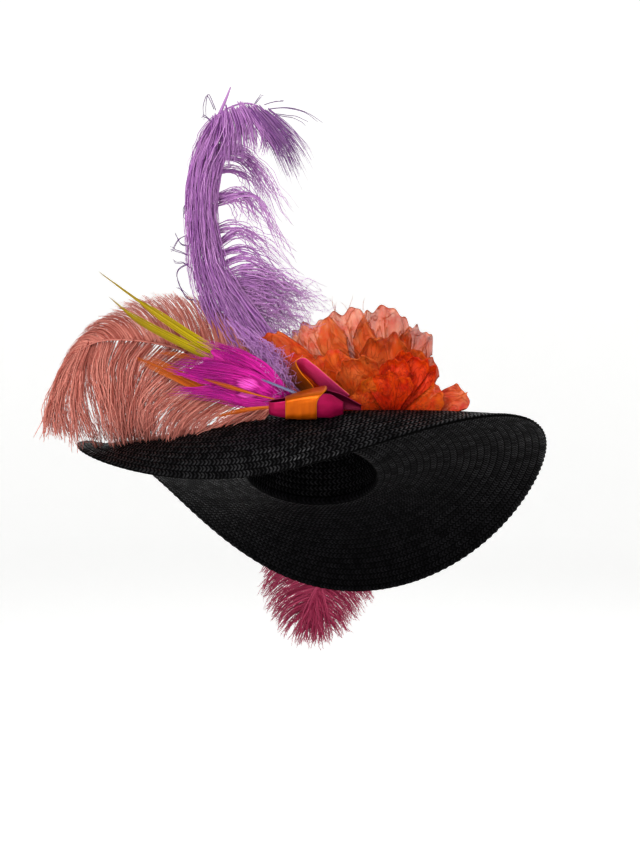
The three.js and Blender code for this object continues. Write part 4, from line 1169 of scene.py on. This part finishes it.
# The locks, each as four places in the frame from its root to its tip.
SALMON_LOCKS = np.reshape([
    [282, 402, 244, 412, 214, 425, 192, 436], [284, 404, 262, 414, 242, 426, 224, 436],
    [270, 392, 226, 406, 200, 422, 185, 438], [262, 386, 214, 402, 184, 420, 172, 437],
    [252, 380, 202, 402, 178, 424, 172, 442], [244, 376, 194, 396, 168, 418, 159, 434],
    [228, 368, 184, 388, 152, 408, 137, 427], [212, 362, 176, 382, 152, 404, 150, 436],
    [190, 352, 164, 374, 142, 400, 146, 434], [170, 346, 150, 368, 138, 398, 136, 434],
    [150, 343, 134, 366, 130, 396, 132, 432], [136, 341, 123, 366, 122, 394, 126, 436],
    [123, 341, 113, 368, 116, 400, 128, 435], [106, 342, 102, 370, 112, 402, 122, 438],
    [98, 343, 94, 370, 101, 396, 112, 440], [88, 346, 81, 372, 80, 402, 96, 434],
    [82, 348, 76, 376, 74, 404, 78, 436], [78, 350, 66, 378, 60, 402, 66, 426],
    [74, 353, 62, 378, 54, 402, 54, 424], [70, 357, 58, 384, 51, 406, 46, 427],
], (-1, 4, 2)).astype(float)
DEPTH_OF_PLACE = (1, 2, 2, 3)  # which depth each of a lock's four places takes
depths = np.stack([np.interp(SALMON_LOCKS[:, k, 0], SALMON_DEPTH[:, 0], SALMON_DEPTH[:, level])
                   for k, level in enumerate(DEPTH_OF_PLACE)], axis=1)
fan = seen(SALMON_LOCKS, depths)
# Every lock starts on the quill, and its lower end hangs a little lower than the solid's.
along_quill = np.linspace(0, 1, 80)
on_quill = smooth_curve(SALMON_QUILL, along_quill)
fan[:, 0] = smooth_curve(SALMON_QUILL, np.interp(-fan[:, 0, 0], -on_quill[:, 0], along_quill))
fan[:, 2] += [0, 0, -4]
fan[:, 3] += [1, 0, -15]
lower = lock_curves(fan, 22, chance, spread=(2.2, 5.5), frizz=2.6, beats=2.4, reach=(0.9, 1.0),
                    flat=0.5, late=0.02, steps=14)
make_feather("salmon_hanging_locks",
             fluffy(lower, 0.62, 56, 4.6, 0.6, chance, width=0.28, taper=0.6),
             salmon_dye, [])

# %% Single barbs between the locks
# Each one's route is a mix of the two locks beside it, so that the fan has no gaps.
place = chance.uniform(0, len(fan) - 1.001, 620)
near, part = place.astype(int), (place % 1)[:, None, None]
between = fan[near] * (1 - part) + fan[near + 1] * part + DEPTH * 3
film = lock_curves(between, 1, chance, spread=(1.5, 3.0), frizz=2.4, reach=(0.8, 1.0), flat=0.5,
                   late=0.02)
make_feather("salmon_single_barbs",
             fluffy(film, 0.5, 56, 5.0, 0.65, chance, dark=0.2, width=0.3, taper=0.6),
             salmon_dye, [])

# %% [markdown]
# ## The raspberry plume
#
# A short plume that starts at the back of the crown, follows the brim down and hangs below it.

# %% Table and mesh of the raspberry plume
RASPBERRY_QUILL = np.array([
    [22, 92, -38], [22, 142, -52], [26, 172, -74], [22, 202, -116], [12, 214, -160],
    [2, 222, -212.0],
])
RASPBERRY_RIGHT = [
    [0.2, -4, 156, -48, -38, 176, -66], [0.5, -36, 222, -90, -66, 242, -148],
    [0.75, -46, 232, -150, -72, 240, -200], [1, -24, 226, -222, -40, 230, -252],
]
RASPBERRY_LEFT = [
    [0.2, 56, 158, -56, 88, 164, -78], [0.5, 68, 208, -112, 92, 206, -164],
    [0.75, 60, 216, -160, 80, 214, -200], [1, 26, 222, -222, 38, 222, -252],
]
RASPBERRY_END = [[0.8, -12, 222, -200, -30, 226, -256], [0.97, -8, 224, -230, -16, 226, -260],
                 [1, 10, 222, -232, 16, 222, -260], [0.8, 20, 218, -200, 32, 222, -254]]
chance = np.random.default_rng(37)
parts = quill(RASPBERRY_QUILL, 1.4, 0.4, 0.3)
for table, count in ((RASPBERRY_RIGHT, 340), (RASPBERRY_LEFT, 340), (RASPBERRY_END, 130)):
    curves = vane_curves(RASPBERRY_QUILL, table, count, chance, depth=8, frizz=1.8, scatter=5,
                         reach=(0.75, 1.0), locks=count // 16, gather=0.45)
    parts += fluffy(curves, 1.05, 42, 6.5, 0.6, chance, dark=0.25, width=0.54)
make_feather("raspberry_ostrich_plume", parts, raspberry_dye,
             ["raspberry_plume"])

# %% [markdown]
# ## The peacock feather
#
# Only the end of a peacock's tail feather is used here, dyed magenta. Its barbs lie close, so a
# thin web is laid behind them, and the eye shows as two pale pink spots on both sides of the
# quill. The spots are worked out from the distance to their middles, in ellipses.

# %% Peacock barbs as a material
# Each row: the spot's middle (x and z), and half its width and half its height.
EYE_SPOTS = [(-70, 118.5, 10.5, 6.0), (-71, 106.5, 9, 3.4)]


def eye_spots(points):
    """How far each point is from the nearer pale spot's middle, in half sizes of that spot, and 1
    inside a spot, 0 outside, with a soft border."""
    nearer = np.minimum(*(np.hypot((points[:, 0] - x) / wide, (points[:, 2] - z) / high)
                          for x, z, wide, high in EYE_SPOTS))
    return nearer, np.clip((1.06 - nearer) / 0.12, 0, 1)


def peacock_dye():
    """Dyed peacock barbs are flat and smooth, so they gleam like silk."""
    finish, shader = new_finish("magenta_dyed_peacock", {"Roughness": 0.45,
                                                         "Specular IOR Level": 0.2})
    tone, along, spot = (add(finish, "Attribute", attribute_name=mark).outputs["Fac"]
                         for mark in MARKS)
    ends = add(finish, "MapRange", {"Value": along, "From Min": 0.7, "To Max": 0.6})
    tint = add(finish, "Mix", {0: tone, 6: colour("#a00470"), 7: colour("#dc1ca4")},
               data_type="RGBA")
    tint = add(finish, "Mix", {0: ends, 6: tint, 7: colour("#861484")}, data_type="RGBA")
    tint = add(finish, "Mix", {0: spot, 6: tint, 7: colour("#f458cc")}, data_type="RGBA")
    put(finish, tint, shader.inputs["Base Color"])
    return finish


# %% Table and mesh of the peacock feather
WEB_HALF = 0.15  # half its thickness
PEACOCK_QUILL = np.array([[-24, -174, 108], [-68, -174, 114], [-110, -172, 118.0]])
PEACOCK_UPPER = [
    [0, -58, -174, 134, -84, -172, 154], [0.3, -90, -174, 150, -130, -170, 169],
    [0.65, -112, -174, 134, -148, -170, 146], [1, -136, -172, 126, -165, -170, 132],
]
PEACOCK_LOWER = [
    [0, -52, -176, 100, -92, -174, 96], [0.5, -88, -176, 100, -128, -172, 103],
    [1, -134, -172, 112, -163, -170, 114],
]
PEACOCK_LOCKS = [
    [288, 392, 266, 366, 240, 352, 194, 338], [286, 393, 262, 370, 236, 358, 204, 350],
    [282, 394, 256, 374, 228, 364, 179, 359], [280, 395, 254, 378, 226, 370, 174, 364],
    [276, 396, 250, 380, 222, 374, 166, 368], [274, 397, 248, 384, 222, 378, 180, 375],
    [272, 398, 246, 388, 222, 386, 194, 378], [276, 402, 252, 400, 230, 394, 200, 382],
    [278, 404, 254, 405, 232, 400, 206, 388], [270, 404, 246, 404, 220, 396, 166, 391],
    [284, 396, 262, 400, 240, 402, 222, 397], [290, 398, 272, 380, 254, 362, 224, 346],
    [284, 392, 258, 366, 232, 352, 200, 342],
]
chance = np.random.default_rng(53)
parts = []
for table, count, locks in ((PEACOCK_UPPER, 130, 10), (PEACOCK_LOWER, 90, 7)):
    curves = vane_curves(PEACOCK_QUILL, table, count, chance, depth=1.2, frizz=0.8, scatter=2.2,
                         reach=(0.55, 1.0), locks=locks, gather=0.6)
    parts += fluffy(curves, 0.6, 12, 2.4, 0.3, chance, width=0.2)
gathered = lock_curves(as_routes(PEACOCK_LOCKS, -177, -174), 24, chance, spread=(1.6, 2.6),
                       frizz=0.8, beats=1.2, reach=(0.6, 1.0), flat=0.4)
parts += fluffy(gathered, 0.7, 12, 2.4, 0.3, chance, width=0.2)

# The web behind the barbs is the same vane as one thin sheet, shorter and with a toothed edge.
for table in (PEACOCK_UPPER, PEACOCK_LOWER):
    place = np.linspace(0, len(table) - 1, 60)
    row = between_rows(table, place)
    toothed = (0.6 + 0.14 * np.abs(np.sin(place * 7)))[None, :, None]
    s = np.linspace(0, 1, 16)[:, None, None] * toothed
    web = arc(smooth_curve(PEACOCK_QUILL, row[:, 0]), row[:, 1:4], row[:, 4:7], s) + DEPTH
    web_points = wall_points(web, WEB_HALF)
    parts.append((web_points, wall_faces(*web.shape[:2], False)[0],
                  np.full(len(web_points), 0.4), 0.45, 0.0))

# The spots take the place of the dark mark, and a dark and a paler ring lie round them.
shown = []
for points, blocks, along, tone, _ in parts:
    off, spot = eye_spots(points)
    ring = 0.35 * (off < 2.1) - 0.9 * (np.abs(off - 1.35) < 0.25)
    shown.append((points, blocks, along, np.clip(tone + ring, 0, 1), spot))
make_feather("magenta_peacock_feather", shown, peacock_dye(),
             ["peacock_feather"])

# %% [markdown]
# ## Slim feathers
#
# The orange, yellow and periwinkle feathers are narrow: their barbs lie almost along the shaft.
# Each is made as fibres that run beside the shaft, each keeping its own share of the vane's width.

# %% Fibres beside a shaft
FIBRES = 22


def slim_feather(node, route, widths, finish, seed):
    """Fibre k lies at its share, from -1 to 1, of half the vane's width at each place, sways a
    little, and starts and ends where it likes near the ends. The shaft lies in front of them."""
    chance = np.random.default_rng(seed)
    steps = 22
    share = np.linspace(-1, 1, FIBRES)[:, None]
    first = chance.uniform(0, 0.1, (FIBRES, 1)) * np.abs(share)
    last = 1 - chance.uniform(0, 0.22, (FIBRES, 1)) * np.abs(share) ** 0.5
    s = first + (last - first) * np.linspace(0, 1, steps)[None]
    middle = smooth_curve(route, s)
    behind, ahead = (smooth_curve(route, np.clip(s + way, 0, 1)) for way in (-0.01, 0.01))
    side = unit(np.cross(unit(ahead - behind), DEPTH))
    half = np.interp(s, *np.transpose(widths)) / 2
    sway = chance.normal(0, 0.25, (FIBRES, 1)) * s**3
    offset = (share * half + sway * (0.4 + 0.6 * half / half.max()))[..., None]
    paths = middle + side * offset + DEPTH * chance.normal(0, 0.3, (FIBRES, 1, 1))
    tube, blocks, along = strands(paths, max(0.34, half.max() / FIBRES * 2.6), 0.3)
    tone = np.repeat(chance.uniform(0, 1, FIBRES), len(tube) // FIBRES)
    shaft = smooth_curve(route, np.linspace(0, 0.96, steps))[None] - DEPTH * 0.6
    stem, stem_blocks, stem_along = strands(shaft, 0.5, 0.3, 5)
    parts = [(tube, blocks, along, tone, 0.0), (stem, stem_blocks, stem_along, 1.0, 0.0)]
    make_feather("slim_" + node, parts, finish, [node])


orange_dye = dyed_feather("orange_dyed_feather", "#a03c00", "#d06a08", "#a84808", "#7a2c00", 0.5)
yellow_dye = dyed_feather("yellow_dyed_feather", "#8e7800", "#d0b800", "#86620e", "#6d5800", 0.45)
periwinkle_dye = dyed_feather("periwinkle_dyed_feather", "#5c5c84", "#8484a4", "#76749a",
                              "#4a4788", 0.5)
# Each row: node, route of the shaft, width of the vane at shares along it, finish and slot.
SLIM_FEATHERS = [
    ("orange_feather_front", [[-24, -190, 98], [-72, -182, 110], [-122, -178, 125]],
     [[0, 1], [0.4, 1.6], [0.7, 5], [1, 2]], orange_dye, "orange_feather"),
    ("quill_stem", [[-12, -192, 107], [-56, -181, 124]], [[0, 3], [1, 2]],
     periwinkle_dye, "periwinkle_feather"),
    ("orange_feather_long",
     [[-29, -168, 102], [-72, -166, 101], [-107, -165, 106], [-157, -162, 131], [-196, -158, 148]],
     [[0, 3], [0.3, 7], [0.6, 11], [0.85, 15], [1, 8]], orange_dye, "orange_feather"),
    ("orange_feather_short",
     [[-27, -161.5, 113], [-80, -164, 131], [-124, -163, 146], [-175, -160, 153]],
     [[0, 2], [0.6, 3], [0.85, 6], [1, 2]], orange_dye, "orange_feather"),
    ("orange_feather_low", [[-24, -191, 95], [-62, -188, 92], [-85, -188, 88], [-108, -188, 82]],
     [[0, 2], [0.6, 5], [1, 2]], orange_dye, "orange_feather"),
    ("yellow_feather_upper",
     [[-27, -159.5, 114], [-80, -158, 139], [-125, -155, 165], [-187, -150, 206],
      [-240, -145, 244]],
     [[0, 3], [0.3, 6], [0.45, 10], [0.68, 9], [0.78, 2.4], [1, 1]], yellow_dye, "yellow_feather"),
    ("yellow_feather_lower",
     [[-27, -157.5, 112], [-80, -155, 133], [-130, -153, 156], [-197, -150, 191],
      [-227, -148, 215]],
     [[0, 3], [0.3, 6], [0.45, 10], [0.72, 8], [0.85, 2.4], [1, 1]], yellow_dye, "yellow_feather"),
]
for number, (node, route, widths, dye, slot) in enumerate(SLIM_FEATHERS):
    slim_feather(node, route, widths, dye, 80 + number)

# %% [markdown]
# ## Frayed threads
#
# A few threads of the organza's cut edge stand up over the flower.

# %% Threads on the top petals
THREADS = [
    [[27, -78, 199], [26, -77, 207], [20, -76, 214]],
    [[27, -78, 199], [24, -77, 208], [24, -76, 217]],
    [[28, -78, 199], [28, -77, 206], [30, -76, 211]],
    [[42, -78, 200], [38, -77, 206], [33, -76, 210]],
    [[42, -78, 200], [46, -77, 210], [48, -76, 217]],
    [[60, -76, 200], [60, -75, 208], [62, -74, 215]],
]
threads = np.stack([smooth_curve(thread, np.linspace(0, 1, 10)) for thread in THREADS])
points, blocks, along = strands(threads, 0.35, 0.4)
thread_dye = dyed_feather("rust_organza_thread", "#8f3410", "#b5541f", "#a0441a", "#6d2408")
marks = {"along": along, "tone": along * 0 + 0.5, "dark": along * 0}
make_piece("frayed_threads", points, blocks, [thread_dye], marks=marks)
